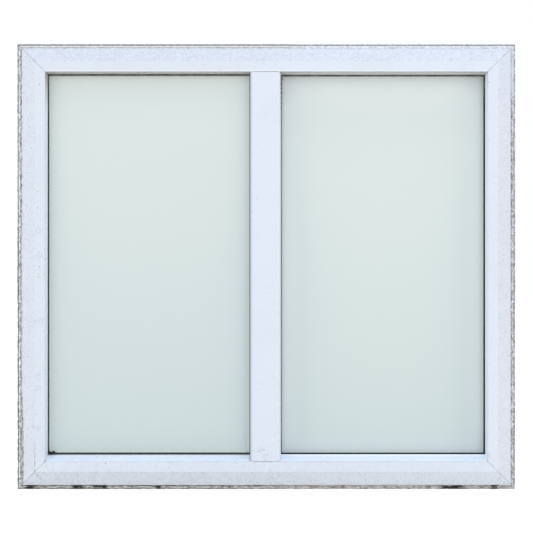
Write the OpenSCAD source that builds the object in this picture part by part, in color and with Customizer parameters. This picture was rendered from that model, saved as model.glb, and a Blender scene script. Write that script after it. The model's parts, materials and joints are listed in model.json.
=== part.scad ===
// Sliding window, seen from outside: a fixed light on the left, a sash that slides behind it on the right.
// X runs along the width, Y from the outside face (-Y) to the room (+Y), Z up.
// The origin is the middle of the sill's underside.

/* [Overall size] */
// Width of the outer frame
frame_w = 1124; // [900:1:1600]
// Height of the outer frame
frame_h = 1005; // [800:1:1500]

/* [Frame profile] */
// Width of the outer lip that met the plaster
lip_w = 10.5; // [7:0.5:12]
// Depth of that lip behind the flat band
lip_set_back = 11; // [9.5:0.5:14]
// Width of the bevelled band
bevel_w = 30; // [20:0.5:34]
// Fall of the bevelled band
bevel_fall = 8; // [5:0.5:9]
// Width of the flat band
flat_w = 23; // [20:0.5:32]
// Depth of the front leg
leg_depth = 26; // [24:0.5:32]
// Draft of the inner return over the depth of the leg
return_draft = 1.2; // [0.8:0.1:4]
// Radius of the arris between the flat band and the return
arris_r = 1; // [0.5:0.1:2.2]
// Height of the web between the wall and the sash
web_h = 27; // [24:0.5:29]
// Wall of the frame and mullion profiles
wall = 2.8; // [2.2:0.1:3.2]
// Height of the rear lip above the web
rear_lip_h = 6; // [4:0.5:6.5]
// Thickness of the rear lip
rear_lip_t = 3; // [2.4:0.1:4]

/* [Mullion and sill] */
// Width of the mullion
mullion_w = 69; // [62:0.5:84]
// Place of the mullion's middle from the middle of the frame
mullion_x = -2.4; // [-40:0.1:40]
// Radius of the mullion's long arrises
mullion_arris_r = 6; // [3:0.5:8]
// Radius of the mullion's corners at the head
mullion_head_r = 4; // [2:0.5:6]
// Radius of the mullion's corners at the sill
mullion_sill_r = 8; // [3:0.5:10]
// Rise of the sloped sill trim
sill_rise = 12.5; // [8:0.5:16]

/* [Fixed light] */
// Thickness of the glass
glass_t = 5; // [4:0.5:6]
// Thickness of the front gasket
gasket_t = 2.5; // [2:0.1:3]
// Thickness of the rear gasket
rear_gasket_t = 2; // [1.5:0.1:3]
// Width of gasket that shows at the head and the sill
gasket_lip = 3.5; // [1.5:0.1:4]
// Width of gasket that shows at the jamb and the mullion
gasket_side_lip = 2; // [1.5:0.1:4]
// How far the glass reaches behind the sight line
glass_cover = 15; // [12:0.5:16]
// Depth of the glazing beads
bead_depth = 10.5; // [9:0.5:14]
// Wall of beads and infill profiles
bead_wall = 1.8; // [1.4:0.1:2.2]

/* [Sash] */
// Width of the sash profile
sash_w = 29; // [27:0.5:32]
// Depth of the sash profile
sash_depth = 26; // [25:0.5:30]
// Wall of the sash profile
sash_wall = 3; // [2.4:0.1:3.4]
// Gap between the fixed light and the sash
running_gap = 8; // [7:0.5:10]
// Gap between the sash and the rear lip
rear_gap = 3; // [2:0.1:4]
// Gap between the sash and the web at head and jamb
side_gap = 3; // [2.5:0.1:4]
// Height of the sash above the sill's web
sash_lift = 14.5; // [12:0.5:16]
// Width of sash gasket that shows round the glass
sash_gasket_lip = 4; // [2:0.1:5]
// How far the meeting stile's sight line lies behind the mullion's edge
sash_tuck = 2.5; // [0:0.1:4]
// Thickness of the interlocking hooks
hook_t = 1.6; // [1.2:0.1:1.8]
// Length of the buffers that stop the sash
buffer_l = 26; // [15:1:40]

/* [Rollers and track] */
// Thickness of the track's fin
fin_t = 4; // [3:0.1:5]
// How far the track stands in the sash's groove
track_entry = 2; // [1.5:0.1:3]
// Distance of each roller from the end of the sash
roller_inset = 90; // [60:1:140]
// Diameter of the roller axles
axle_d = 5; // [4:0.5:6]
// Width of a roller wheel
wheel_w = 8; // [7:0.5:9]

/* [Latch] */
// Outer radius of the crescent
crescent_r = 26; // [25:0.5:30]
// Thickness of the crescent
crescent_t = 3.5; // [2.5:0.1:5]
// Length of the lever from its pivot
lever_l = 52; // [40:1:70]
// Diameter of the latch's pivot pin
pivot_d = 8; // [6:0.5:9]
// Diameter of the keeper's post
post_d = 5; // [4:0.1:5.5]

/* [Wall fixings] */
// Diameter of the fixing holes through the jambs
fixing_d = 10; // [6:0.5:12]
// Distance of each fixing hole from head and sill
fixing_inset = 150; // [120:5:200]

/* [Hidden] */
$fn = 64;

// Finishes
white_pvc = "#e2e9f4";
grey_glass = "#d5e2e0";
black_rubber = "#2b2f31";
mill_aluminium = "#b9bcc0";
zinc_steel = "#9aa0a6";
cream_nylon = "#d9d4c6";
grey_pile = "#8d9093";
dull_mortar = "#a59d93";

// Clearances and the overrun of every cut
overrun = 1;
seat_gap = 0.2;
brush_gap = 0.3;
running_fit = 0.08;
pin_fit = 0.05;
face_gap = 0.1;

// Distances from the frame's outer edge towards the glass
flat_u = lip_w + bevel_w;
face_u = flat_u + flat_w;
return_u = face_u + return_draft;
rear_u = web_h + rear_lip_h;
bead_set = 3;
bead_u = return_u - bead_set;
slope_u = face_u + sill_rise;
bead_sill_u = slope_u - bead_set;

// Depths behind the flat band
glass_d = leg_depth + gasket_t;
rear_gasket_d = glass_d + glass_t;
bead_d = rear_gasket_d + rear_gasket_t;
plane_d = bead_d + bead_depth;
sash_d = plane_d + running_gap;
sash_rear_d = sash_d + sash_depth;
rear_lip_d = sash_rear_d + rear_gap;
frame_d = rear_lip_d + rear_lip_t;
track_d = sash_d + sash_depth / 2;

// Inner faces of the webs
web_left = -frame_w / 2 + web_h;
web_right = frame_w / 2 - web_h;
web_top = frame_h - web_h;

// Sloped sill trim: a blunt nose behind the arris, then the slope
nose_set = 0.5;
nose_t = 1.2;
nose_d = arris_r + nose_set;
nose_u = face_u + return_draft * nose_d / leg_depth;
slope_rate = (slope_u - nose_u - nose_t) / (leg_depth - nose_d);
slope_front_u = slope_u - slope_rate * leg_depth;

// Mullion: a front flange, and behind it a stem that reaches from web to web
mullion_left = mullion_x - mullion_w / 2;
mullion_right = mullion_x + mullion_w / 2;
stem_left = mullion_left + glass_cover + bead_set;
stem_right = mullion_right - bead_set;
connector_h = 40;

// Steel bars inside the profiles
steel_t = 1.5;
steel_end = 40;

// Mortar on the lip, as shares of the lip's width and of the step up to the bevel
residue_shares = [[0, 0], [0, 0.3], [0.3, 0.75], [0.72, 0.62], [1, 0.35], [1, 0]];
residue_crack = 0.3;

// Fixed pane, its sight lines and what carries it
sight = [-frame_w / 2 + return_u, slope_u, mullion_left, frame_h - return_u];
gasket_foot = 10;
rear_foot = 8;
packer_t = 4;
packer_l = 60;
packer_side = 1;
platform_top = slope_u - glass_cover - packer_t;
bead_chamfer = 3;
bead_side_h = frame_h - bead_u - bead_sill_u;
bead_side_z = (frame_h - bead_u + bead_sill_u) / 2;

// Sash outline: left, bottom, right and top edges
sash_left = mullion_right - sash_w - sash_tuck;
sash_right = web_right - side_gap;
sash_bottom = web_h + sash_lift;
sash_top = web_top - side_gap;
sash_x = (sash_left + sash_right) / 2;
sash_z = (sash_bottom + sash_top) / 2;
sash_l = sash_right - sash_left;
sash_h = sash_top - sash_bottom;
sash_sight = [sash_left + sash_w, sash_bottom + sash_w, sash_right - sash_w, sash_top - sash_w];

// Sash profile: an outer groove for rollers and guides, an inner rebate for the glass
sash_rebate = 9.5;
sash_floor = 2.5;
sash_leg = 6;
sash_groove = sash_w - sash_rebate - sash_floor;
groove_w = sash_depth - sash_wall * 2;
sash_gasket_t = 2;
sash_cover = 7;
sash_foot = 6;
sash_glass_d = sash_d + sash_leg + sash_gasket_t;
sash_rear_gasket_d = sash_glass_d + glass_t;
sash_bead_d = sash_rear_gasket_d + sash_gasket_t;
sash_bead_depth = sash_rear_d - sash_bead_d;
sash_bead_set = 1;
sash_packer_t = sash_rebate - sash_cover;

// Interlocking hooks, evenly spread over the running gap
hook_gap = (running_gap - hook_t * 2) / 3;
hook_l = 9.5;
hook_end = 22;
sash_hook_d = plane_d + hook_gap;
mullion_hook_d = sash_hook_d + hook_t + hook_gap;
mullion_hook_x = sash_left + hook_l + hook_gap;

// Pile seals
pile_w = 6;
pile_inset = 5;
lip_pile_w = 2.2;
upstand_cover = 10;

// Track, guide, rollers and top guides
track_base_w = 22;
track_base_t = 2;
track_top = sash_bottom + track_entry;
guide_entry = 12;
wheel_flange = 1;
wheel_r = (sash_groove - track_entry - wheel_flange * 2) / 2;
wheel_z = track_top + face_gap + wheel_r;
wheel_groove_room = 1;
wheel_groove_w = fin_t + wheel_groove_room;
housing_l = 50;
housing_w = groove_w - brush_gap * 2;
housing_rise = 0.6;
slot_room = 0.8;
guide_block_l = 40;
left_roller_x = sash_left + roller_inset;
right_roller_x = sash_right - roller_inset;

// Buffers at the end of the sash's run
buffer_h = 30;
buffer_inset = 120;
buffer_w = sash_depth - sash_wall;

// Latch: everything turns about an axis along Y
latch_inset = 12;
latch_x = sash_right - latch_inset;
latch_z = sash_z;
keeper_t = 2.3;
keeper_w = 19;
keeper_h = 46;
keeper_gap = 0.5;
keeper_x = frame_w / 2 - rear_u + keeper_w / 2;
crescent_d = frame_d + keeper_t + keeper_gap + face_gap;
latch_base_w = 15;
latch_base_h = 64;
latch_base_t = frame_d + keeper_t + keeper_gap - sash_rear_d;
channel_room = 0.5;
crescent_rim = 4.5;
post_x = latch_x + crescent_r - crescent_rim - channel_room - post_d / 2;
post_rise = keeper_gap + face_gap + crescent_t - brush_gap;
hub_wall = 5;
hub_r = pivot_d / 2 + hub_wall;
lever_t = 5;
lever_w = 12;
lever_tip_w = 15;
pivot_head_t = 1.8;
pivot_rim = 2.5;
channel_from = 165;
channel_to = 285;

// Finger pull below the latch
pull_h = 100;
pull_drop = 130;
pull_base_t = 2.5;
pull_rib_t = 4;
pull_rib_rise = 12;

// Countersunk screws
screw_r = 1.9;
screw_head_r = 3.4;
screw_head_h = 1.8;
screw_l = 12;
screw_room = 0.1;
keeper_screw_inset = 7;
pull_screw_inset = 10;
latch_screw_z = (latch_base_h - latch_base_w) / 2;
keeper_screw_z = keeper_h / 2 - keeper_screw_inset;
pull_screw_z = pull_h / 2 - pull_screw_inset;

// Small helpers

function unit(v) = v / norm(v);

// What a rounded corner takes off: the corner at p between directions a and b
module corner_round(p, a, b, r) {
  half = acos(a * b) / 2;
  along = r / tan(half);
  middle = p + unit(a + b) * r / sin(half);
  difference() {
    polygon([p, p + a * along, middle, p + b * along]);
    translate(middle) circle(r);
  }
}

// The (x, z) outline of its children, from depth d to depth d + t
module slab(d, t) {
  translate([0, d + t, 0]) rotate([90, 0, 0]) linear_extrude(t) children();
}

module rect(b) {
  translate([b[0], b[1]]) square([b[2] - b[0], b[3] - b[1]]);
}

function grown(b, by) = [b[0] - by, b[1] - by, b[2] + by, b[3] + by];

function shrunk(b, side, end) = [b[0] + side, b[1] + end, b[2] - side, b[3] - end];

// A ring in (x, z) between a box and the same box grown
module ring(b, inside, outside) {
  difference() {
    rect(grown(b, outside));
    rect(grown(b, inside));
  }
}

// A straight bar along X whose section has u along Z and depth along Y
module bar(l) {
  rotate([0, -90, 0]) linear_extrude(l, center = true) children();
}

// The same bar with both ends cut at 45 degrees
module mitred_bar(l, rise) {
  intersection() {
    bar(l) children();
    rotate([90, 0, 0]) linear_extrude((frame_d + overrun) * 2, center = true)
      polygon([[-l / 2, 0], [l / 2, 0], [l / 2 - rise, rise], [-l / 2 + rise, rise]]);
  }
}

// Turns a bottom bar of a w by h frame to one of its sides
module on_side(side, w, h) {
  if (side == "bottom") children();
  if (side == "top") translate([0, 0, h]) rotate([0, 180, 0]) children();
  if (side == "left") translate([-w / 2, 0, h / 2]) rotate([0, 90, 0]) children();
  if (side == "right") translate([w / 2, 0, h / 2]) rotate([0, -90, 0]) children();
}

// Everything is drawn with depth 0 at the flat band and then centred on the frame
module in_frame() {
  translate([0, -frame_d / 2, 0]) children();
}

// A box given by its two corners
module box(a, b) {
  translate(a) cube(b - a);
}

// A rectangular tube along X between two corners
module tube_x(a, b, t) {
  difference() {
    box(a, b);
    box(a + [-overrun, t, t], b - [-overrun, t, t]);
  }
}

// A rectangular tube along Z between two corners
module tube_z(a, b, t) {
  difference() {
    box(a, b);
    box(a + [t, t, -overrun], b - [t, t, -overrun]);
  }
}

// A countersunk screw whose head lies at the origin and whose shank points along -Y
module screw() {
  rotate([90, 0, 0]) {
    cylinder(h = screw_l, r = screw_r);
    cylinder(h = screw_head_h, r1 = screw_head_r, r2 = screw_r);
  }
}

// The hole that takes such a screw
module screw_hole() {
  rotate([90, 0, 0]) {
    translate([0, 0, -overrun]) cylinder(h = screw_l + overrun * 2, r = screw_r + screw_room);
    cylinder(h = screw_head_h, r1 = screw_head_r + screw_room, r2 = screw_r + screw_room);
    translate([0, 0, -overrun]) cylinder(h = overrun, r = screw_head_r + screw_room);
  }
}

module latch_screw_places() {
  for (s = [-1, 1]) translate([latch_x, sash_rear_d + latch_base_t, latch_z + s * latch_screw_z]) children();
}

module pull_screw_places() {
  for (s = [-1, 1])
    translate([latch_x, sash_rear_d + pull_base_t, latch_z - pull_drop + s * pull_screw_z]) children();
}

module keeper_screw_places() {
  for (s = [-1, 1]) translate([keeper_x, frame_d + keeper_t, latch_z + s * keeper_screw_z]) children();
}

// Frame

// Section of the four frame bars: lip, bevel, flat band and return in front, a hollow web behind
module frame_section() {
  difference() {
    polygon([
      [0, lip_set_back], [lip_w, lip_set_back], [lip_w, bevel_fall], [flat_u, 0], [face_u, 0],
      [return_u, leg_depth], [web_h, leg_depth], [web_h, rear_lip_d], [rear_u, rear_lip_d],
      [rear_u, frame_d], [0, frame_d]
    ]);
    corner_round([face_u, 0], [-1, 0], unit([return_draft, leg_depth]), arris_r);
    polygon([
      [wall, leg_depth - wall], [wall, lip_set_back + wall], [lip_w + wall, lip_set_back + wall],
      [lip_w + wall, bevel_fall + wall], [flat_u, wall], [face_u - wall, wall],
      [return_u - wall, leg_depth - wall]
    ]);
    rect([wall, leg_depth, web_h - wall, plane_d - wall / 2]);
    rect([wall, plane_d + wall / 2, web_h - wall, frame_d - wall]);
  }
}

module frame_bar(side) {
  l = side == "top" || side == "bottom" ? frame_w : frame_h;
  on_side(side, frame_w, frame_h) mitred_bar(l, return_u + overrun) frame_section();
}

module frame_head() {
  color(white_pvc) in_frame() frame_bar("top");
}

module frame_sill() {
  color(white_pvc) in_frame() frame_bar("bottom");
}

// The fixing holes go through both walls of the web, in line with the track
module fixing_holes(x) {
  for (z = [fixing_inset, frame_h - fixing_inset])
    translate([x, track_d, z]) rotate([0, 90, 0])
      cylinder(h = web_h + overrun * 2, d = fixing_d, center = true);
}

module frame_jamb_left() {
  color(white_pvc) in_frame() difference() {
    frame_bar("left");
    fixing_holes(-frame_w / 2 + web_h / 2);
  }
}

module frame_jamb_right() {
  color(white_pvc) in_frame() difference() {
    frame_bar("right");
    fixing_holes(frame_w / 2 - web_h / 2);
    keeper_screw_places() screw_hole();
  }
}

// Steel channels that slide into the front chamber of each web
module steel_section() {
  inner = [wall + seat_gap, leg_depth + seat_gap, web_h - wall - seat_gap, plane_d - wall / 2 - seat_gap];
  difference() {
    rect(inner);
    rect([inner[0] + steel_t, inner[1] + steel_t, inner[2] + overrun, inner[3] - steel_t]);
  }
}

module frame_steels() {
  color(zinc_steel) in_frame() {
    for (side = ["top", "bottom"])
      on_side(side, frame_w, frame_h) bar(frame_w - (web_h + steel_end) * 2) steel_section();
    for (side = ["left", "right"])
      on_side(side, frame_w, frame_h) bar(frame_h - (web_h + steel_end) * 2) steel_section();
  }
}

// Mortar left on the lip where the window was cut out of its wall, cracked through at the mitres
module mortar_residue() {
  step = lip_set_back - bevel_fall;
  section = [for (s = residue_shares) [s[0] * lip_w, lip_set_back - s[1] * step]];
  color(dull_mortar) in_frame() {
    for (side = ["top", "bottom"])
      on_side(side, frame_w, frame_h)
        mitred_bar(frame_w - residue_crack * 2, lip_w + overrun) polygon(section);
    for (side = ["left", "right"])
      on_side(side, frame_w, frame_h)
        mitred_bar(frame_h - residue_crack * 2, lip_w + overrun) polygon(section);
  }
}

// Clip-on trim that sheds water: its ends are coped to the jambs' returns
module sill_slope() {
  front = frame_w / 2 - face_u - seat_gap;
  rear = frame_w / 2 - return_u - seat_gap;
  color(white_pvc) in_frame() intersection() {
    bar(frame_w)
      polygon([[nose_u, nose_d], [nose_u + nose_t, nose_d], [slope_u, leg_depth], [return_u, leg_depth]]);
    linear_extrude(slope_u + overrun)
      polygon([[-front, 0], [front, 0], [rear, leg_depth], [-rear, leg_depth]]);
  }
}

// Mullion

module mullion_flange_section() {
  difference() {
    rect([mullion_left, 0, mullion_right, leg_depth]);
    corner_round([mullion_left, 0], [1, 0], [0, 1], mullion_arris_r);
    corner_round([mullion_right, 0], [-1, 0], [0, 1], mullion_arris_r);
  }
}

// Front outline with its four rounded corners
module mullion_outline() {
  bottom = slope_front_u + seat_gap;
  top = frame_h - face_u - seat_gap;
  difference() {
    rect([mullion_left - overrun, bottom, mullion_right + overrun, top]);
    for (s = [[mullion_left, 1], [mullion_right, -1]]) {
      corner_round([s[0], bottom], [s[1], 0], [0, 1], mullion_sill_r);
      corner_round([s[0], top], [s[1], 0], [0, -1], mullion_head_r);
    }
  }
}

// Side outline (depth, z): the foot seats on the sill slope, the top against the head's return
module mullion_side_outline() {
  polygon([
    [0, slope_front_u + seat_gap], [leg_depth, slope_u + seat_gap],
    [leg_depth, frame_h - return_u - seat_gap], [0, frame_h - face_u - seat_gap]
  ]);
}

// Side outline (depth, z) of the stem, with the tab that is let into the flange's rear wall
module mullion_stem_outline() {
  tab_d = leg_depth - wall / 2;
  tab_low = slope_u + wall;
  tab_high = frame_h - return_u - wall;
  polygon([
    [leg_depth, web_h], [plane_d, web_h], [plane_d, web_top], [leg_depth, web_top],
    [leg_depth, tab_high], [tab_d, tab_high], [tab_d, tab_low], [leg_depth, tab_low]
  ]);
}

module mullion() {
  chamber = [wall, wall, 0];
  color(white_pvc) in_frame() difference() {
    union() {
      intersection() {
        linear_extrude(frame_h) mullion_flange_section();
        slab(0, leg_depth) mullion_outline();
        translate([mullion_left, 0, 0]) rotate([90, 0, 90]) linear_extrude(mullion_w) mullion_side_outline();
      }
      translate([stem_left, 0, 0]) rotate([90, 0, 90])
        linear_extrude(stem_right - stem_left) mullion_stem_outline();
    }
    box([mullion_left, 0, 0] + chamber, [mullion_right, leg_depth, frame_h] - chamber);
    box([stem_left, leg_depth - wall, 0] + chamber, [stem_right, plane_d, frame_h] - chamber);
  }
}

module mullion_steel() {
  inset = wall + seat_gap;
  color(zinc_steel) in_frame() tube_z(
    [mullion_left + inset, inset, slope_u + steel_end],
    [mullion_right - inset, leg_depth - inset, frame_h - return_u - steel_end],
    steel_t
  );
}

// Blocks screwed to the webs, which the stem slips over
module mullion_connectors() {
  low = [stem_left + wall + seat_gap, leg_depth + seat_gap, web_h];
  high = [stem_right - wall - seat_gap, plane_d - wall - seat_gap, web_h + connector_h];
  rise = web_top - web_h - connector_h;
  color(cream_nylon) in_frame() for (lift = [0, rise]) translate([0, 0, lift]) box(low, high);
}

// Fixed light

module fixed_pane() {
  color(grey_glass) in_frame() slab(glass_d, glass_t) rect(grown(sight, glass_cover));
}

module gasket_ring(outside) {
  difference() {
    rect(grown(sight, outside));
    rect(shrunk(sight, gasket_side_lip, gasket_lip));
  }
}

// Front gasket: a nose that shows beside the sight line, and a foot behind the leg
module fixed_gasket_front() {
  color(black_rubber) in_frame() {
    slab(leg_depth, gasket_t) gasket_ring(gasket_foot);
    slab(leg_depth - gasket_t, gasket_t) gasket_ring(-seat_gap);
  }
}

module fixed_gasket_rear() {
  edge = [-frame_w / 2 + bead_u, bead_sill_u, mullion_left + bead_set, frame_h - bead_u];
  color(black_rubber) in_frame() slab(rear_gasket_d, rear_gasket_t) ring(edge, 0, rear_foot);
}

module glazing_platform() {
  color(white_pvc) in_frame()
    tube_x([web_left, leg_depth, web_h], [stem_left, plane_d, platform_top], bead_wall);
}

module glazing_packers() {
  pane_w = sight[2] - sight[0];
  color(cream_nylon) in_frame() for (s = [-1, 1])
    translate([(sight[0] + sight[2]) / 2 + s * pane_w / 4, glass_d - packer_side, platform_top])
      translate([-packer_l / 2, 0, 0]) cube([packer_l, glass_t + packer_side * 2, packer_t]);
}

// A hollow bead with a chamfer on the room side of its inner edge
module bead_section(w, depth) {
  difference() {
    polygon([[0, 0], [w, 0], [w, depth - bead_chamfer], [w - bead_chamfer, depth], [0, depth]]);
    polygon([
      [bead_wall, bead_wall], [w - bead_wall, bead_wall],
      [w - bead_wall, depth - bead_chamfer - bead_wall / 2],
      [w - bead_chamfer - bead_wall / 2, depth - bead_wall], [bead_wall, depth - bead_wall]
    ]);
  }
}

module bead_head() {
  color(white_pvc) in_frame() translate([(web_left + stem_left) / 2, bead_d, web_top]) rotate([0, 180, 0])
    bar(stem_left - web_left) bead_section(bead_u - web_h, bead_depth);
}

module bead_sill() {
  color(white_pvc) in_frame() translate([(web_left + stem_left) / 2, bead_d, platform_top])
    bar(stem_left - web_left) bead_section(bead_sill_u - platform_top, bead_depth);
}

module bead_jamb() {
  color(white_pvc) in_frame() translate([web_left, bead_d, bead_side_z]) rotate([0, 90, 0])
    bar(bead_side_h) bead_section(bead_u - web_h, bead_depth);
}

module bead_mullion() {
  color(white_pvc) in_frame() translate([stem_left, bead_d, bead_side_z]) rotate([0, -90, 0])
    bar(bead_side_h) bead_section(glass_cover, bead_depth);
}

// Infill profiles close the empty glazing groove beside the sash

module infill_head() {
  color(white_pvc) in_frame()
    tube_x([stem_right, leg_depth, frame_h - bead_u], [web_right, plane_d, web_top], bead_wall);
}

module infill_sill() {
  color(white_pvc) in_frame()
    tube_x([stem_right, leg_depth, web_h], [web_right, plane_d, bead_sill_u], bead_wall);
}

module infill_jamb() {
  color(white_pvc) in_frame()
    tube_z([frame_w / 2 - bead_u, leg_depth, bead_sill_u], [web_right, plane_d, frame_h - bead_u], bead_wall);
}

// Brush that the lock stile closes against
module jamb_pile_seal() {
  x = frame_w / 2 - bead_u + pile_inset;
  color(grey_pile) in_frame()
    box([x, plane_d, sash_bottom + hook_end], [x + pile_w, sash_d - brush_gap, sash_top - hook_end]);
}

// Track and stops

// A foot and a fin with a round top
module track_section(h) {
  rect([0, -track_base_w / 2, track_base_t, track_base_w / 2]);
  rect([0, -fin_t / 2, h - fin_t / 2, fin_t / 2]);
  translate([h - fin_t / 2, 0]) circle(fin_t / 2);
}

module sill_track() {
  color(mill_aluminium) in_frame() translate([0, track_d, web_h])
    bar(web_right - web_left - seat_gap * 2) track_section(track_top - web_h);
}

module head_guide() {
  color(mill_aluminium) in_frame() translate([0, track_d, web_top]) rotate([0, 180, 0])
    bar(web_right - web_left - seat_gap * 2) track_section(side_gap + guide_entry);
}

// Clip-on strip that covers the foot of the sash from the room
module sill_upstand() {
  x = frame_w / 2 - rear_u - seat_gap;
  color(white_pvc) in_frame() box([-x, rear_lip_d, rear_u], [x, frame_d, sash_bottom + upstand_cover]);
}

// Fixed half of the interlock: foot on the stem, blade, and a tip turned towards the fixed light
module mullion_interlock() {
  l = sash_h - hook_end * 2;
  color(white_pvc) in_frame() translate([0, 0, sash_bottom + hook_end]) linear_extrude(l) {
    rect([mullion_hook_x, plane_d, stem_right - bead_set, plane_d + hook_t]);
    rect([mullion_hook_x, plane_d, mullion_hook_x + hook_t, mullion_hook_d + hook_t]);
    rect([sash_left + hook_gap, mullion_hook_d, mullion_hook_x, mullion_hook_d + hook_t]);
  }
}

module buffers() {
  low = [web_left, track_d - buffer_w / 2, -buffer_h / 2];
  high = [web_left + buffer_l, track_d + buffer_w / 2, buffer_h / 2];
  color(black_rubber) in_frame() for (z = [sash_bottom + buffer_inset, sash_top - buffer_inset])
    translate([0, 0, z]) box(low, high);
}

// Keeper on the jamb: a plate with the post that the crescent hooks
module latch_keeper() {
  color(white_pvc) in_frame() difference() {
    union() {
      slab(frame_d, keeper_t) rect([
        keeper_x - keeper_w / 2, latch_z - keeper_h / 2, keeper_x + keeper_w / 2, latch_z + keeper_h / 2
      ]);
      translate([post_x, frame_d + keeper_t, latch_z]) rotate([-90, 0, 0])
        cylinder(h = post_rise, d = post_d);
    }
    keeper_screw_places() screw_hole();
  }
}

module keeper_screws() {
  color(zinc_steel) in_frame() keeper_screw_places() screw();
}

// Sash

module sash_section() {
  difference() {
    rect([0, 0, sash_w, sash_depth]);
    rect([-overrun, sash_wall, sash_groove, sash_depth - sash_wall]);
    rect([sash_w - sash_rebate, sash_leg, sash_w + overrun, sash_depth + overrun]);
  }
}

module sash_place(d) {
  translate([sash_x, d, sash_bottom]) children();
}

module sash_bar(side) {
  l = side == "top" || side == "bottom" ? sash_l : sash_h;
  sash_place(sash_d) on_side(side, sash_l, sash_h) mitred_bar(l, sash_w + overrun) sash_section();
}

module sash_rail_top() {
  color(white_pvc) in_frame() sash_bar("top");
}

module sash_rail_bottom() {
  color(white_pvc) in_frame() sash_bar("bottom");
}

module sash_stile_lock() {
  color(white_pvc) in_frame() difference() {
    sash_bar("right");
    latch_screw_places() screw_hole();
    pull_screw_places() screw_hole();
    translate([latch_x, sash_rear_d + overrun, latch_z]) rotate([90, 0, 0])
      cylinder(h = sash_wall + overrun * 2, d = pivot_d + pin_fit * 2);
  }
}

module sash_stile_meeting() {
  color(white_pvc) in_frame() sash_bar("left");
}

module sash_pane() {
  color(grey_glass) in_frame() slab(sash_glass_d, glass_t) rect(grown(sash_sight, sash_cover));
}

module sash_gasket_front() {
  color(black_rubber) in_frame() {
    slab(sash_d + sash_leg, sash_gasket_t) ring(sash_sight, -sash_gasket_lip, sash_foot);
    slab(sash_d + sash_leg - sash_gasket_t, sash_gasket_t)
      ring(sash_sight, -sash_gasket_lip, -face_gap);
  }
}

module sash_gasket_rear() {
  color(black_rubber) in_frame()
    slab(sash_rear_gasket_d, sash_gasket_t) ring(sash_sight, sash_bead_set, sash_foot);
}

module sash_packers() {
  low = sash_bottom + sash_w - sash_rebate;
  color(cream_nylon) in_frame() for (x = [left_roller_x, right_roller_x])
    translate([x - housing_l / 2, sash_glass_d, low]) cube([housing_l, glass_t, sash_packer_t]);
}

module sash_bead(side) {
  inset = sash_w - sash_rebate;
  w = sash_l - inset * 2;
  h = sash_h - inset * 2;
  l = side == "top" || side == "bottom" ? w : h;
  color(white_pvc) in_frame() sash_place(sash_bead_d) translate([0, 0, inset])
    on_side(side, w, h) mitred_bar(l, sash_w) bead_section(sash_rebate - sash_bead_set, sash_bead_depth);
}

module sash_bead_top() {
  sash_bead("top");
}

module sash_bead_bottom() {
  sash_bead("bottom");
}

module sash_bead_lock() {
  sash_bead("right");
}

module sash_bead_meeting() {
  sash_bead("left");
}

// Moving half of the interlock: a cap over the stile's groove and a hook that reaches forward
module sash_interlock() {
  l = sash_h - hook_end * 2;
  color(white_pvc) in_frame() translate([0, 0, sash_bottom + hook_end]) linear_extrude(l) {
    rect([sash_left - hook_t, sash_hook_d, sash_left, sash_rear_d]);
    rect([sash_left - hook_t, sash_hook_d, sash_left + hook_l, sash_hook_d + hook_t]);
  }
}

// Brushes between the sash and the fixed light, at head and sill
module sash_pile_front() {
  color(grey_pile) in_frame() for (z = [sash_bottom + pile_inset, sash_top - pile_inset - pile_w])
    box([sash_left + pile_inset, plane_d + brush_gap, z], [sash_right - pile_inset, sash_d, z + pile_w]);
}

// Brushes between the sash and the rear lip or the upstand
module sash_pile_rear() {
  rear = rear_lip_d - brush_gap;
  side = sash_right - brush_gap;
  head = sash_top - brush_gap;
  foot = sash_bottom + pile_inset - brush_gap;
  color(grey_pile) in_frame() {
    box([side - lip_pile_w, sash_rear_d, sash_bottom + sash_w], [side, rear, sash_top - sash_w]);
    box([sash_left + pile_inset, sash_rear_d, head - lip_pile_w], [sash_right - sash_w, rear, head]);
    box([sash_left + pile_inset, sash_rear_d, foot], [sash_right - sash_w, rear, foot + lip_pile_w]);
  }
}

// Rollers

// A block in the groove with a slot for the wheel, a channel for the fin and a bore for the axle
module roller_housing(x) {
  slot_l = (wheel_r + wheel_flange + slot_room) * 2;
  slot_w = wheel_w + slot_room * 2;
  channel_w = fin_t + slot_room * 2;
  color(cream_nylon) in_frame() difference() {
    box(
      [x - housing_l / 2, track_d - housing_w / 2, sash_bottom + housing_rise],
      [x + housing_l / 2, track_d + housing_w / 2, sash_bottom + sash_groove]
    );
    box(
      [x - slot_l / 2, track_d - slot_w / 2, sash_bottom - overrun],
      [x + slot_l / 2, track_d + slot_w / 2, sash_bottom + sash_groove + overrun]
    );
    box(
      [x - housing_l, track_d - channel_w / 2, sash_bottom - overrun],
      [x + housing_l, track_d + channel_w / 2, track_top + slot_room]
    );
    translate([x, track_d, wheel_z]) rotate([90, 0, 0])
      cylinder(h = sash_depth, d = axle_d + pin_fit * 2, center = true);
  }
}

module roller_housing_left() {
  roller_housing(left_roller_x);
}

module roller_housing_right() {
  roller_housing(right_roller_x);
}

module roller_axles() {
  color(zinc_steel) in_frame() for (x = [left_roller_x, right_roller_x])
    translate([x, track_d, wheel_z]) rotate([90, 0, 0]) cylinder(h = housing_w, d = axle_d, center = true);
}

// A grooved wheel that runs on the fin
module roller_wheel(x) {
  side = (wheel_w - wheel_groove_w) / 2;
  color(cream_nylon) in_frame() translate([x, track_d, wheel_z]) rotate([90, 0, 0])
    rotate_extrude() difference() {
      rect([axle_d / 2 + running_fit, -wheel_w / 2, wheel_r + wheel_flange, wheel_w / 2]);
      rect([wheel_r, -wheel_w / 2 + side, wheel_r + wheel_flange + overrun, wheel_w / 2 - side]);
    }
}

module roller_wheel_left() {
  roller_wheel(left_roller_x);
}

module roller_wheel_right() {
  roller_wheel(right_roller_x);
}

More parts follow.
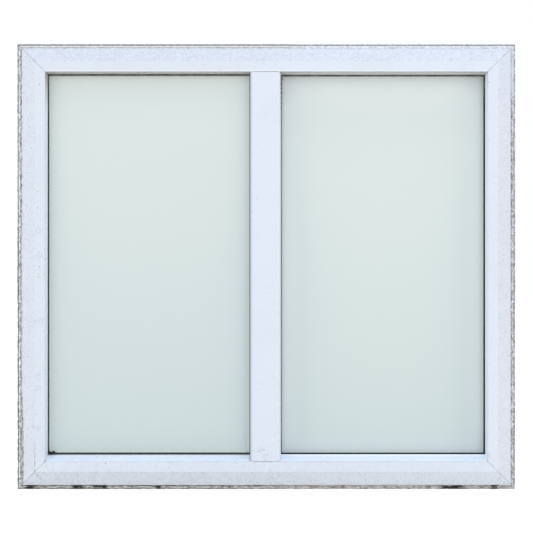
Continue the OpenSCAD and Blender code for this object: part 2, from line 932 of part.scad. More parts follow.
// Blocks in the top rail that straddle the head guide
module top_guides() {
  slot_w = fin_t + brush_gap * 2;
  color(cream_nylon) in_frame() for (x = [left_roller_x, right_roller_x]) difference() {
    box(
      [x - guide_block_l / 2, track_d - housing_w / 2, sash_top - sash_groove],
      [x + guide_block_l / 2, track_d + housing_w / 2, sash_top - housing_rise]
    );
    box(
      [x - guide_block_l, track_d - slot_w / 2, sash_top - guide_entry - slot_room],
      [x + guide_block_l, track_d + slot_w / 2, sash_top + overrun]
    );
  }
}

// Latch

module latch_base() {
  straight = latch_base_h - latch_base_w;
  color(white_pvc) in_frame() difference() {
    slab(sash_rear_d, latch_base_t) translate([latch_x, latch_z]) {
      square([latch_base_w, straight], center = true);
      for (s = [-1, 1]) translate([0, s * straight / 2]) circle(d = latch_base_w);
    }
    translate([latch_x, sash_rear_d + latch_base_t / 2, latch_z]) rotate([90, 0, 0])
      cylinder(h = latch_base_t + overrun, d = pivot_d + pin_fit * 2, center = true);
    latch_screw_places() screw_hole();
  }
}

// Headed pin that holds the lever on its base
module latch_pivot() {
  head_d = crescent_d + crescent_t + lever_t + face_gap;
  foot = sash_rear_d - sash_wall;
  color(zinc_steel) in_frame() translate([latch_x, 0, latch_z]) rotate([-90, 0, 0]) {
    translate([0, 0, foot]) cylinder(h = head_d - foot + pivot_head_t, d = pivot_d);
    translate([0, 0, head_d]) cylinder(h = pivot_head_t, d = pivot_d + pivot_rim * 2);
  }
}

// The crescent: half a disc with a curved channel for the keeper's post
module crescent_outline() {
  middle_r = post_x - latch_x;
  half_w = post_d / 2 + channel_room;
  far = crescent_r * 2;
  difference() {
    union() {
      intersection() {
        circle(crescent_r);
        rect([-far, -far, 0, far]);
      }
      circle(hub_r);
    }
    intersection() {
      difference() {
        circle(middle_r + half_w);
        circle(middle_r - half_w);
      }
      polygon(concat([[0, 0]], [for (s = [0 : 1 / 3 : 1])
        let (a = channel_from + s * (channel_to - channel_from)) [far * cos(a), far * sin(a)]]));
    }
    translate(middle_r * [cos(channel_from), sin(channel_from)]) circle(half_w);
  }
}

// The lever hangs from the hub and widens to its tip
module lever_outline() {
  tip_z = -lever_l + lever_tip_w / 2;
  circle(hub_r);
  polygon([[-lever_w / 2, 0], [lever_w / 2, 0], [lever_tip_w / 2, tip_z], [-lever_tip_w / 2, tip_z]]);
  translate([0, tip_z]) circle(d = lever_tip_w);
}

module latch_lever() {
  color(white_pvc) in_frame() translate([latch_x, 0, latch_z]) difference() {
    union() {
      slab(crescent_d, crescent_t) crescent_outline();
      slab(crescent_d + crescent_t, lever_t) lever_outline();
    }
    translate([0, crescent_d, 0]) rotate([-90, 0, 0]) translate([0, 0, -overrun])
      cylinder(h = crescent_t + lever_t + overrun * 2, d = pivot_d + running_fit * 2);
  }
}

// A plate with a rib for the fingertips
module finger_pull() {
  z = latch_z - pull_drop;
  color(white_pvc) in_frame() difference() {
    union() {
      slab(sash_rear_d, pull_base_t) translate([latch_x, z]) square([latch_base_w, pull_h], center = true);
      slab(sash_rear_d + pull_base_t, pull_rib_rise) translate([latch_x, z]) {
        square([pull_rib_t, pull_h / 2], center = true);
        for (s = [-1, 1]) translate([0, s * pull_h / 4]) circle(d = pull_rib_t);
      }
    }
    pull_screw_places() screw_hole();
  }
}

module sash_screws() {
  color(zinc_steel) in_frame() {
    latch_screw_places() screw();
    pull_screw_places() screw();
  }
}

frame_head();
frame_sill();
frame_jamb_left();
frame_jamb_right();
frame_steels();
mullion();
mullion_steel();
mullion_connectors();
sill_slope();
mortar_residue();
fixed_pane();
fixed_gasket_front();
fixed_gasket_rear();
glazing_platform();
glazing_packers();
bead_head();
bead_sill();
bead_jamb();
bead_mullion();
infill_head();
infill_sill();
infill_jamb();
jamb_pile_seal();
sill_track();
head_guide();
sill_upstand();
mullion_interlock();
buffers();
latch_keeper();
keeper_screws();
sash_rail_top();
sash_rail_bottom();
sash_stile_lock();
sash_stile_meeting();
sash_pane();
sash_gasket_front();
sash_gasket_rear();
sash_packers();
sash_bead_top();
sash_bead_bottom();
sash_bead_lock();
sash_bead_meeting();
sash_interlock();
sash_pile_front();
sash_pile_rear();
roller_housing_left();
roller_housing_right();
roller_axles();
top_guides();
latch_base();
latch_pivot();
finger_pull();
sash_screws();
roller_wheel_left();
roller_wheel_right();
latch_lever();
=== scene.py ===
"""Looks of a sliding window: a white PVC frame, a fixed frosted light and a frosted sash behind it.

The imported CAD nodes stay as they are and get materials. The new pieces are what the CAD model leaves plain:
the crust of mortar on the outer lip, and the dirt that has settled on the frame.
Lengths are metres, except where a comment says millimetres. X is the width, -Y the outside and Z up.
"""

import json
import math
import random

import bmesh
import bpy
from mathutils import Matrix, Vector, noise


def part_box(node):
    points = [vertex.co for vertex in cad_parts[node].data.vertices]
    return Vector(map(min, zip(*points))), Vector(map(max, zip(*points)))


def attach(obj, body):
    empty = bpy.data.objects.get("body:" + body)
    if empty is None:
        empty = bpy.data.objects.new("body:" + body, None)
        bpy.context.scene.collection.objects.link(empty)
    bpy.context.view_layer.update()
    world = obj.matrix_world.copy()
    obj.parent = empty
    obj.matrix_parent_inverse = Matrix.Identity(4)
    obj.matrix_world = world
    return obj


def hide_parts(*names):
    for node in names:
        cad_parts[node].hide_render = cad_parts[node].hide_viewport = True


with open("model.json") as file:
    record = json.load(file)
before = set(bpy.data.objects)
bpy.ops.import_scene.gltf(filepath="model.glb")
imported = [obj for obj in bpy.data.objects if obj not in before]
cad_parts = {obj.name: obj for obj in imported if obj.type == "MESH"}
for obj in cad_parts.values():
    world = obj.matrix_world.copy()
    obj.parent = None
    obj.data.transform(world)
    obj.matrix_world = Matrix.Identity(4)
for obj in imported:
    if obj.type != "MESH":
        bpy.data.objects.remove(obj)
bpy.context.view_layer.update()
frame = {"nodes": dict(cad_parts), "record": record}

MM = 0.001

# Sizes, from the frame
half_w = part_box("frame_head")[1][0]
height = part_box("frame_head")[1][2]
front_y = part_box("mullion")[0][1]
mullion_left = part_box("mullion")[0][0]
mullion_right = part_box("mullion")[1][0]
slope_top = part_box("sill_slope")[1][2]
fixed_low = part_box("fixed_pane")[0]
sash_low, sash_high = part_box("sash_pane")

# Sizes of the profiles, as the CAD model has them
LIP_W = 10.5 * MM  # outer lip that the mortar covers
LIP_DEPTH = 11 * MM  # depth of the lip behind the flat band
STEP = 3 * MM  # from the lip up to the edge of the bevel
BEVEL_SLOPE = 8 / 30  # rise of the bevel towards the flat band
CREASE_U = 40.5 * MM  # from the outer edge to the crease between bevel and flat band
FACE_U = 63.5 * MM  # from the outer edge to the arris of the return
RETURN_DRAFT = 1.2 * MM  # how far the return slopes inwards on its way back
CORNER_U = 66 * MM  # how far the mitre lines reach
SIDE_LIP = 2 * MM  # gasket that shows at the sides of the fixed pane
END_LIP = 3.5 * MM  # and at its foot
SASH_COVER = 11 * MM  # edge of the sash pane that its rail and gasket cover
FOOT_FROM = 0.21  # height under which the mortar of the left jamb is wider

# Camera and photograph
PHOTO = 533
CAMERA_BACK = 2.5  # from the flat band to the lens
CAMERA_ASIDE = (0.05, -0.05)  # of the lens, to the right of the window's middle and up from it
LENS = 75
SENSOR = 36
FOCAL_PX = PHOTO * LENS / SENSOR
CENTRE_PX = (266.37, 266.6)  # the window's middle in the photograph

camera_at = Vector((CAMERA_ASIDE[0], front_y - CAMERA_BACK, height / 2 + CAMERA_ASIDE[1]))


def photo_ray(px, py):
    """Direction from the camera through a pixel of the photograph."""
    right = (px - CENTRE_PX[0]) / FOCAL_PX - CAMERA_ASIDE[0] / CAMERA_BACK
    up = (CENTRE_PX[1] - py) / FOCAL_PX - CAMERA_ASIDE[1] / CAMERA_BACK
    return Vector((right, 1, up)).normalized()


def photo_place(px, py):
    """Place on the plane of the flat bands that a pixel of the photograph shows."""
    per_pixel = CAMERA_BACK / FOCAL_PX
    right = (px - CENTRE_PX[0]) * per_pixel
    up = (CENTRE_PX[1] - py) * per_pixel
    return Vector((right, front_y, height / 2 + up))


# Helpers for materials
SOFT = {"interpolation_type": "SMOOTHSTEP"}
NOISE_SPAN = (0.3, 0.7)  # values that most of a noise lies between


def linear(hex_colour):
    """sRGB hex to linear RGBA."""
    def channel(c):
        return c / 12.92 if c <= 0.04045 else ((c + 0.055) / 1.055) ** 2.4
    value = hex_colour.lstrip("#")
    return tuple(channel(int(value[i:i + 2], 16) / 255) for i in (0, 2, 4)) + (1.0,)


def connect(tree, node, inputs):
    """Sets or links inputs of a node: each is a value or another node's output."""
    for socket, value in inputs.items():
        if isinstance(value, bpy.types.NodeSocket):
            tree.links.new(value, node.inputs[socket])
        else:
            node.inputs[socket].default_value = value


def add(tree, kind, inputs=(), output=0, **settings):
    """Adds a shader node with its settings and links, and gives one of its outputs.

    inputs follow the order of the sockets, or name them.
    """
    made = tree.nodes.new("ShaderNode" + kind)
    for name, value in settings.items():
        setattr(made, name, value)
    connect(tree, made, inputs if isinstance(inputs, dict) else dict(enumerate(inputs)))
    return made.outputs[output]


def overlap(tree, *masks):
    """Where all the masks meet; a plain number weakens them."""
    product = masks[0]
    for mask in masks[1:]:
        product = add(tree, "Math", (product, mask), operation="MULTIPLY")
    return product


def lay(tree, colour, coat, *masks):
    """Lays a coat over a colour where all the masks meet."""
    return add(tree, "Mix", {0: overlap(tree, *masks), 6: colour, 7: coat}, 2, data_type="RGBA")


def pattern(vector, size, detail=3.0, roughness=0.55, distortion=0.0):
    """Inputs of a noise whose features are about size millimetres wide."""
    return {"Vector": vector, "Scale": 1 / (size * MM), "Detail": detail, "Roughness": roughness,
            "Distortion": distortion}


def patches(tree, vector, cut, depth=(0.0, 1.0), **noise_settings):
    """Mask of patches: a noise that is cut off softly, with a depth outside and inside the patches."""
    cloud = add(tree, "TexNoise", pattern(vector, **noise_settings))
    return add(tree, "MapRange", (cloud, *cut, *depth), **SOFT)


def gap(tree, first, second):
    """How far two values are from each other."""
    difference = add(tree, "Math", (first, second), operation="SUBTRACT")
    return add(tree, "Math", (difference,), operation="ABSOLUTE")


def relief(tree, vector, depth, strength, **noise_settings):
    """Normal of a face with a fine relief, its depth in millimetres."""
    grain = add(tree, "TexNoise", pattern(vector, **noise_settings))
    return add(tree, "Bump", {"Height": grain, "Distance": depth * MM, "Strength": strength})


def new_material(name):
    """A material with its node tree and its shader."""
    made = bpy.data.materials.new(name)
    made.use_nodes = True
    tree = made.node_tree
    return made, tree, tree.nodes["Principled BSDF"]


def plug(tree, shader, **sockets):
    """Sets or links sockets of a shader by their names (underscores stand for spaces)."""
    connect(tree, shader, {name.replace("_", " "): value for name, value in sockets.items()})


class Place:
    """Object coordinates and the distances from the window's outer edges."""

    def __init__(self, tree):
        self.vector = add(tree, "TexCoord", output="Object")
        self.x, self.y, self.z = add(tree, "SeparateXYZ", (self.vector,)).node.outputs
        from_middle = add(tree, "Math", (self.x,), operation="ABSOLUTE")
        self.side_u = add(tree, "Math", (half_w, from_middle), operation="SUBTRACT")
        self.from_top = add(tree, "Math", (height, self.z), operation="SUBTRACT")
        self.end_u = add(tree, "Math", (self.z, self.from_top), operation="MINIMUM")
        self.edge_u = add(tree, "Math", (self.side_u, self.end_u), operation="MINIMUM")


# Plastic of the frame and the sash
PVC_WHITE = linear("#e2e8f5")
# Painted sky light: a lighter, bluer white for the up-facing sill slope
PVC_PAINTED_SKYLIGHT = linear("#e2ecfb")
# Painted light: the lighter white that the frame's returns are painted with
PVC_LIT_RETURNS = linear("#eff6ff")
PVC_DUST = linear("#c8c9ce")
BLUE_DUST = linear("#747a94")
BLUE_FILM = linear("#b6c1d6")
# Painted shade along the mullion's left arris
ARRIS_SHADE_GREY = linear("#a4adc2")
# Washed-down dirt and painted shade on the returns under the head
WASH_AND_SHADE_BROWN = linear("#84561a")
SMUDGE_GREY = linear("#6f7588")
DIRT_BROWN = linear("#7d7266")
PURE_WHITE = linear("#ffffff")

GLOSS = (0.16, 0.30)  # roughness of clean and of dulled PVC
SHELTERED_ROUGHNESS = 0.55
RETURN_LIGHT_DEPTH = 0.75  # how strongly the returns of the frame are painted lighter: painted light
OUTSIDE_MARGIN = 0.5 * MM

# Patterns of dirt: size in millimetres, where the noise is cut off, and depth outside and inside the patches
DUST_CLOUD = {"size": 70, "detail": 5.0, "cut": (0.42, 0.72), "depth": (0.0, 0.10)}
GRIME_PATCH = {"size": 14, "detail": 6.0, "roughness": 0.7, "cut": (0.50, 0.74)}
BEVEL_VEIL = {"size": 22, "detail": 6.0, "roughness": 0.65, "cut": (0.30, 0.70), "depth": (0.10, 0.24)}
BEVEL_SPECKLE = {"size": 4, "detail": 2.0, "roughness": 0.6, "cut": (0.54, 0.70), "depth": (0.0, 0.25)}
HEAD_FILM = {"size": 6, "detail": 6.0, "roughness": 0.75, "cut": (0.36, 0.72), "depth": (0.04, 0.50)}
SCUFF = {"size": 9, "detail": 2.0, "distortion": 1.6, "cut": (0.69, 0.75), "depth": (0.0, 0.16)}
CREASE_PATCH = {"size": 9, "cut": (0.30, 0.55), "depth": (0.0, 0.8)}
# Washed-down dirt and painted shade on the returns under the head
WASH_AND_SHADE = {"size": 8, "detail": 4.0, "cut": (0.25, 0.75), "depth": (0.30, 0.55)}
SCUFF_STRETCH = (1, 1, 0.45)
WASH_AND_SHADE_STRETCH = (1, 1, 0.3)

# Size in millimetres, share of the cells that hold one, and strength of specks
FRAME_SPECKS = ((1.6, 0.10, 0.5), (2.6, 0.05, 0.45))
ROOM_SPECKS = ((1.8, 0.04, 0.3),)
SPECK_CELL = 9  # width of a cell in widths of its speck
SPECK_RIM = (0.075, 0.03)  # where a speck begins and where it is full, in widths of the cell

# Places along the frame, and heights, between which the dirt changes, and its depth at either end
CLEANER_FROM = (-0.05, 0.12)
DUSTY_FROM = (0.05, -0.10)
LEFT_DUST = 0.10
GRIME_FALL = (0.16, 0.02)
GRIME_DEPTH = (0.05, 0.25)
GRIME_ON_RIGHT = 0.4  # what is left of it where the head and the sill are cleaner
VEIL_ON_RIGHT = 0.15
CREASE_FALL = (0.13, 0.05)
WASH_AND_SHADE_REACH = 0.16  # how far under the top the returns are darkened by washed-down dirt and painted shade

# Splashes: where the noise is cut off beside the lip and at the crease, how softly, and their depth
SPLASH_FROM = (0.62, 0.74)
SPLASH_SOFT = 0.05
SPLASH_DEPTH = 0.35

# (column, row, reach in millimetres) of dried drops on the left jamb and the foot of the mullion
SMUDGES = ((38.8, 230.0, 8.0), (38.5, 256.0, 7.0), (40.5, 321.0, 7.0), (37.5, 376.5, 6.5), (37.2, 388.3, 6.0),
           (38.2, 428.5, 6.0), (260.5, 449.5, 6.5), (265.3, 456.8, 6.0))
SMUDGE_WAVER = 12 * MM  # how far their outline strays
SMUDGE_FULL_SHARE = 0.7  # of the reach, where a smudge has its full depth
SMUDGE_RIM_SHARE = 0.85  # of the reach, where its rim lies
SMUDGE_RIM_W = 0.8 * MM
SMUDGE_DEPTH = 0.07
SMUDGE_RIM_DEPTH = 0.14

# Lines and edges: a line of dirt is faint at the first half width and full at the second
STAIN_TO = (LIP_W - 3.6 * MM, LIP_W + 5.4 * MM)  # how far from the outer edge the mortar stain ends
STAIN_DEPTH = 0.45
CREASE_LINE = (1.3 * MM, 0.3 * MM)
WELD_LINE = (1.1 * MM, 0.35 * MM)
WELD_CUT = (0.35, 0.6)
WELD_DEPTH = (0.45, 0.9)
# Painted highlights along the arris of the head and along the top of the sill slope
HIGHLIGHT_HALF = 1.3 * MM  # half the height of the painted highlights along the arrises
HIGHLIGHT_DEPTH = 0.4
HEAD_HIGHLIGHT_Z = height - FACE_U + 1.6 * MM
SLOPE_HIGHLIGHT_Z = slope_top - 2.2 * MM
# Painted shade along the mullion's left arris
ARRIS_SHADE_TO = (mullion_left + 6.5 * MM, mullion_left + 1.5 * MM)
ARRIS_SHADE_DEPTH = 0.45


class FramePlace(Place):
    """Masks of the outer frame's faces, which its dirt and its painted light and shade follow."""

    def __init__(self, tree):
        super().__init__(tree)
        outside_to = front_y + LIP_DEPTH + OUTSIDE_MARGIN
        self.outside = add(tree, "Math", (self.y, outside_to), operation="LESS_THAN")
        on_bevel = add(tree, "Math", (self.edge_u, CREASE_U), operation="LESS_THAN")
        self.sloping = overlap(tree, self.outside, on_bevel)
        self.level_bar = add(tree, "Math", (self.end_u, self.side_u), operation="LESS_THAN")
        return_u = FACE_U + RETURN_DRAFT
        inner = add(tree, "Math", (self.edge_u, return_u, 2 * RETURN_DRAFT), operation="COMPARE")
        behind = add(tree, "Math", (self.y, front_y + RETURN_DRAFT), operation="GREATER_THAN")
        self.on_returns = overlap(tree, inner, behind)


def pvc_surface(tree, shader, place, colour, matt=None):
    """Moulded PVC-U: satin, with a faint orange peel and gloss that dust has dulled in patches."""
    dull = add(tree, "TexNoise", pattern(place.vector, size=35))
    roughness = add(tree, "MapRange", (dull, *NOISE_SPAN, *GLOSS))
    if matt is not None:
        roughness = add(tree, "Mix", {0: matt, 2: roughness, 3: SHELTERED_ROUGHNESS})
    plug(tree, shader, Base_Color=colour, Roughness=roughness, IOR=1.53,
         Normal=relief(tree, place.vector, size=2.5, detail=1.0, depth=0.05, strength=0.3))


def pvc_specks(tree, place, colour, kinds):
    """Sparse round specks: one in each cell of a grid, kept in a share of the cells."""
    for size, share, strength in kinds:
        scale = 1 / (size * MM * SPECK_CELL)
        cells = add(tree, "TexVoronoi", {"Vector": place.vector, "Scale": scale}).node
        chance = add(tree, "SeparateColor", (cells.outputs["Color"],)).node
        near = add(tree, "MapRange", (cells.outputs["Distance"], *SPECK_RIM), **SOFT)
        kept = add(tree, "Math", (chance.outputs[0], share), operation="LESS_THAN")
        colour = lay(tree, colour, DIRT_BROWN, near, kept, chance.outputs[1], strength)
    return colour


def frame_dust(tree, place, colour):
    """Dust and grime: most on the bevels and low down, less on the right of the head and the sill."""
    to_right = add(tree, "MapRange", (place.x, *CLEANER_FROM), **SOFT)
    cleaner = overlap(tree, to_right, place.level_bar)

    # The flat bands are dustier on the left
    band_u = (CREASE_U + FACE_U) / 2
    band_half = (FACE_U - CREASE_U) / 2
    flat = add(tree, "Math", (place.edge_u, band_u, band_half), operation="COMPARE")
    over_sill = add(tree, "Math", (place.z, FACE_U), operation="GREATER_THAN")
    to_left = add(tree, "MapRange", (place.x, *DUSTY_FROM), **SOFT)
    colour = lay(tree, colour, PVC_DUST, to_left, flat, place.outside, over_sill, LEFT_DUST)

    # Low places are dirtier than high ones
    grime = patches(tree, place.vector, **GRIME_PATCH)
    low = add(tree, "MapRange", (place.z, *GRIME_FALL, *GRIME_DEPTH), **SOFT)
    spared = add(tree, "Mix", {0: cleaner, 2: 1.0, 3: GRIME_ON_RIGHT})
    colour = lay(tree, colour, DIRT_BROWN, grime, low, spared)

    # The sloping bevels hold more dust than the flat bands
    veil = patches(tree, place.vector, **BEVEL_VEIL)
    spared = add(tree, "Mix", {0: cleaner, 2: 1.0, 3: VEIL_ON_RIGHT})
    colour = lay(tree, colour, PVC_DUST, veil, place.sloping, spared)
    speckle = patches(tree, place.vector, **BEVEL_SPECKLE)
    colour = lay(tree, colour, BLUE_DUST, speckle, place.sloping)

    # Along the head the dust has dried in a bluish grey film
    on_head = add(tree, "Math", (place.from_top, CREASE_U), operation="LESS_THAN")
    film = patches(tree, place.vector, **HEAD_FILM)
    return lay(tree, colour, BLUE_FILM, film, on_head, place.level_bar, place.outside)


def splashes_and_smudges(tree, place, colour):
    """Splashes of mortar beside the lip, scuffs, and drops that have dried on the flat bands."""
    splash = add(tree, "TexNoise", pattern(place.vector, size=2.2, roughness=0.6))
    splash_from = add(tree, "MapRange", (place.edge_u, LIP_W, CREASE_U, *SPLASH_FROM))
    splash = add(tree, "Math", (splash, splash_from), operation="SUBTRACT")
    splash = add(tree, "MapRange", (splash, 0.0, SPLASH_SOFT, 0.0, SPLASH_DEPTH), **SOFT)
    colour = lay(tree, colour, DIRT_BROWN, splash, place.sloping)

    upright = add(tree, "Mapping", {"Vector": place.vector, "Scale": SCUFF_STRETCH})
    colour = lay(tree, colour, DIRT_BROWN, patches(tree, upright, **SCUFF))

    waver = add(tree, "TexNoise", pattern(place.vector, size=6))
    waver = add(tree, "MapRange", (waver, 0.0, 1.0, -SMUDGE_WAVER, SMUDGE_WAVER))
    for px, py, width in SMUDGES:
        reach = width * MM
        apart = add(tree, "VectorMath", (place.vector, photo_place(px, py)), "Value", operation="DISTANCE")
        apart = add(tree, "Math", (apart, waver), operation="ADD")
        blot = add(tree, "MapRange", (apart, reach, SMUDGE_FULL_SHARE * reach, 0.0, SMUDGE_DEPTH), **SOFT)
        rim = add(tree, "Math", (apart, SMUDGE_RIM_SHARE * reach, SMUDGE_RIM_W), operation="COMPARE")
        blot = add(tree, "Math", (rim, SMUDGE_RIM_DEPTH, blot), operation="MULTIPLY_ADD")
        colour = lay(tree, colour, SMUDGE_GREY, blot)
    return colour


def caught_dirt(tree, place, colour):
    """Mortar stain along the step beside the lip, and dirt in the crease at the foot of the left jamb."""
    stain_to = add(tree, "TexNoise", pattern(place.vector, size=11, detail=5.0))
    stain_to = add(tree, "MapRange", (stain_to, 0.0, 1.0, *STAIN_TO))
    stain = add(tree, "Math", (place.edge_u, stain_to), operation="LESS_THAN")
    colour = lay(tree, colour, PVC_DUST, stain, place.outside, STAIN_DEPTH)

    crease = add(tree, "MapRange", (gap(tree, place.side_u, CREASE_U), *CREASE_LINE), **SOFT)
    foot = add(tree, "MapRange", (place.z, *CREASE_FALL), **SOFT)
    left = add(tree, "Math", (place.x, 0.0), operation="LESS_THAN")
    above = add(tree, "Math", (place.z, CREASE_U), operation="GREATER_THAN")
    patchy = patches(tree, place.vector, **CREASE_PATCH)
    return lay(tree, colour, DIRT_BROWN, crease, foot, left, above, patchy)


def lit_and_shaded_returns(tree, place, colour, return_light):
    """Returns painted lighter, which is painted light, and under the head darkened by washed-down dirt and
    painted shade.
    """
    # Painted light: the returns are painted lighter
    colour = lay(tree, colour, PVC_LIT_RETURNS, place.on_returns, return_light)
    # Washed-down dirt and painted shade darken the returns under the head
    under_head = add(tree, "MapRange", (place.from_top, WASH_AND_SHADE_REACH, FACE_U), **SOFT)
    runs = add(tree, "Mapping", {"Vector": place.vector, "Scale": WASH_AND_SHADE_STRETCH})
    washed = patches(tree, runs, **WASH_AND_SHADE)
    off_right = add(tree, "Math", (place.x, half_w - CORNER_U), operation="LESS_THAN")
    return lay(tree, colour, WASH_AND_SHADE_BROWN, washed, under_head, place.on_returns, off_right)


def arris_light_and_shade(tree, place, colour, highlight_z):
    """A painted highlight along a level arris, and painted shade along the mullion's left arris."""
    # Painted highlight along the arris
    arris = add(tree, "Math", (place.z, highlight_z, HIGHLIGHT_HALF), operation="COMPARE")
    colour = lay(tree, colour, PURE_WHITE, arris, place.level_bar, HIGHLIGHT_DEPTH)
    # Painted shade along the mullion's left arris
    on_mullion = add(tree, "Math", (place.edge_u, FACE_U + RETURN_DRAFT), operation="GREATER_THAN")
    arris_shade = add(tree, "MapRange", (place.x, *ARRIS_SHADE_TO), **SOFT)
    past = add(tree, "Math", (place.x, mullion_left - SIDE_LIP), operation="GREATER_THAN")
    return lay(tree, colour, ARRIS_SHADE_GREY, arris_shade, on_mullion, past, ARRIS_SHADE_DEPTH)


def weld_lines(tree, place, colour):
    """Hairline of dirt in the welded mitres."""
    weld = add(tree, "MapRange", (gap(tree, place.side_u, place.end_u), *WELD_LINE), **SOFT)
    corner = add(tree, "Math", (place.side_u, place.end_u), operation="MAXIMUM")
    corner = add(tree, "Math", (corner, CORNER_U), operation="LESS_THAN")
    broken = add(tree, "TexNoise", pattern(place.vector, size=12))
    broken = add(tree, "MapRange", (broken, *WELD_CUT, *WELD_DEPTH))
    return lay(tree, colour, DIRT_BROWN, weld, corner, broken)


def weathered_light_painted_pvc(name, white, return_light, highlight_z):
    """White PVC of the outer frame: dust, specks, scuffs, stained edges and hairline welds at the mitres,
    with painted light on the returns, painted shade under the head and along the mullion's left arris, and a
    painted highlight along one arris.
    """
    material, tree, shader = new_material(name)
    place = FramePlace(tree)
    colour = lay(tree, white, PVC_DUST, patches(tree, place.vector, **DUST_CLOUD))
    colour = frame_dust(tree, place, colour)
    colour = splashes_and_smudges(tree, place, colour)
    colour = pvc_specks(tree, place, colour, FRAME_SPECKS)
    colour = caught_dirt(tree, place, colour)
    colour = lit_and_shaded_returns(tree, place, colour, return_light)
    colour = arris_light_and_shade(tree, place, colour, highlight_z)
    colour = weld_lines(tree, place, colour)
    pvc_surface(tree, shader, place, colour, place.on_returns)
    return material


def clean_pvc():
    """White PVC on the room side and inside: only a little cloudy dust and a few specks."""
    material, tree, shader = new_material("white_pvc")
    place = Place(tree)
    colour = lay(tree, PVC_WHITE, PVC_DUST, patches(tree, place.vector, **DUST_CLOUD))
    colour = pvc_specks(tree, place, colour, ROOM_SPECKS)
    pvc_surface(tree, shader, place, colour)
    return material


# Glass
# Darker tone for painted shade near the edges and for the line of painted reflection
GLASS_EDGE = linear("#b4c6c6")
# Pale green-white of the painted reflection along the glass edge
GLASS_REFLECTED_EDGE = linear("#e6f1ec")
# Paler tone for painted light near the edges
GLASS_PAINTED_LIGHT = linear("#f8feff")
GLASS_FADE_SHARES = (0.10, 0.86)  # of the pane's height, between which the painted shading fades from the foot's tone to the head's
EDGE_POWER = 1.6  # how fast the tone of an edge dies away
REFLECTED_MARGIN_W = 5.5 * MM  # pale margin between the gasket and the dark line: painted reflection of the gaskets in the glass edge
REFLECTED_MARGIN_SOFT = 0.7 * MM
REFLECTED_LINE = (1.2 * MM, 0.2 * MM)  # half widths of the dark line of the painted reflection, faint and full
REFLECTED_LINE_DEPTH = 0.35
REFLECTED_MARGIN_DEPTH = 0.7
FACE_SKIN = 1 * MM  # depth behind the outer face that counts as that face

# What shows of each pane between its gaskets: left, low, right and high edges
FIXED_SIGHT = (-half_w + CORNER_U, slope_top + END_LIP, mullion_left - SIDE_LIP, height - CORNER_U)
SASH_SIGHT = (mullion_right, sash_low[2] + SASH_COVER, sash_high[0] - SASH_COVER, sash_high[2] - SASH_COVER)
# Tones at the foot and at the head of each pane: painted shading, darker at the foot and lighter at the head
FIXED_SHADING_TONES = (linear("#d2dddd"), linear("#dce4e2"))
SASH_SHADING_TONES = (linear("#d5e0de"), linear("#e0e8e6"))
# How far, how strongly and in which tone the sides, the foot and the head of each pane differ: painted shade
# in the darker tone, painted light in the paler one
FIXED_EDGE_SHADING = ((45 * MM, 0.16, GLASS_EDGE), (90 * MM, 0.22, GLASS_EDGE), (60 * MM, 0.35, GLASS_PAINTED_LIGHT))
SASH_EDGE_LIGHTING = ((60 * MM, 0.52, GLASS_PAINTED_LIGHT), (60 * MM, 0.22, GLASS_PAINTED_LIGHT), (140 * MM, 1.0, GLASS_PAINTED_LIGHT))


def frosted_glass(name, sight, tones, edges, outer_y):
    """Acid-etched glass: a matt pale green-grey sheet, with a painted reflection of the gaskets along its
    sides and foot.

    Its colour is painted shading, darker towards the foot and lighter towards the head. Near the edges of the
    outer face, which lies at outer_y, painted shade and painted light change its tone.
    """
    left, low, right, high = sight
    material, tree, shader = new_material(name)
    place = Place(tree)
    # Painted shading: darker towards the foot, lighter towards the head
    fade = (low + share * (high - low) for share in GLASS_FADE_SHARES)
    colour = lay(tree, *tones, add(tree, "MapRange", (place.z, *fade)))
    from_left = add(tree, "Math", (place.x, left), operation="SUBTRACT")
    from_right = add(tree, "Math", (right, place.x), operation="SUBTRACT")
    to_side = add(tree, "Math", (from_left, from_right), operation="MINIMUM")
    to_foot = add(tree, "Math", (place.z, low), operation="SUBTRACT")
    to_head = add(tree, "Math", (high, place.z), operation="SUBTRACT")
    outer_face = add(tree, "Math", (place.y, outer_y + FACE_SKIN), operation="LESS_THAN")
    # Painted shade and painted light along the sides, the foot and the head of the outer face
    for distance, (reach, depth, tone) in zip((to_side, to_foot, to_head), edges):
        shade = add(tree, "MapRange", (distance, reach, 0.0), **SOFT)
        shade = add(tree, "Math", (shade, EDGE_POWER), operation="POWER")
        colour = lay(tree, colour, tone, shade, outer_face, depth)

    # A pale margin and a fine dark line along the sides and the foot: painted reflection of the gaskets in
    # the glass edge
    margin = add(tree, "Math", (to_side, to_foot), operation="MINIMUM")
    line = add(tree, "MapRange", (gap(tree, margin, REFLECTED_MARGIN_W), *REFLECTED_LINE), **SOFT)
    colour = lay(tree, colour, GLASS_EDGE, line, REFLECTED_LINE_DEPTH)
    # Painted reflection: the pale margin along the gaskets
    clear = add(tree, "MapRange", (margin, REFLECTED_MARGIN_W, REFLECTED_MARGIN_W - REFLECTED_MARGIN_SOFT), **SOFT)
    colour = lay(tree, colour, GLASS_REFLECTED_EDGE, clear, REFLECTED_MARGIN_DEPTH)

    plug(tree, shader, Base_Color=colour, Roughness=0.75, IOR=1.52,
         Normal=relief(tree, place.vector, size=1.2, detail=2.0, depth=0.03, strength=0.35))
    return material


# Rubber, metals, nylon and pile
RUBBER_PATCH = {"size": 18, "detail": 4.0, "cut": (0.35, 0.7), "depth": (0.5, 1.0)}
RUBBER_DUST_FALL = (0.12, 0.06)  # distances under the top between which the dust on the gaskets thickens
RUBBER_DUST_DEPTH = (0.03, 0.71)
DIE_LINES = {"size": 0.8, "detail": 2.0}
DIE_STRETCH = (0.02, 1, 1)  # along the aluminium bars
DIE_ROUGHNESS = (0.28, 0.45)
ZINC_ROUGHNESS = (0.25, 0.42)
PILE_FIBRES = {"size": 1.0, "detail": 2.0}
PILE_STRETCH = (1, 0.1, 1)  # along the fibres


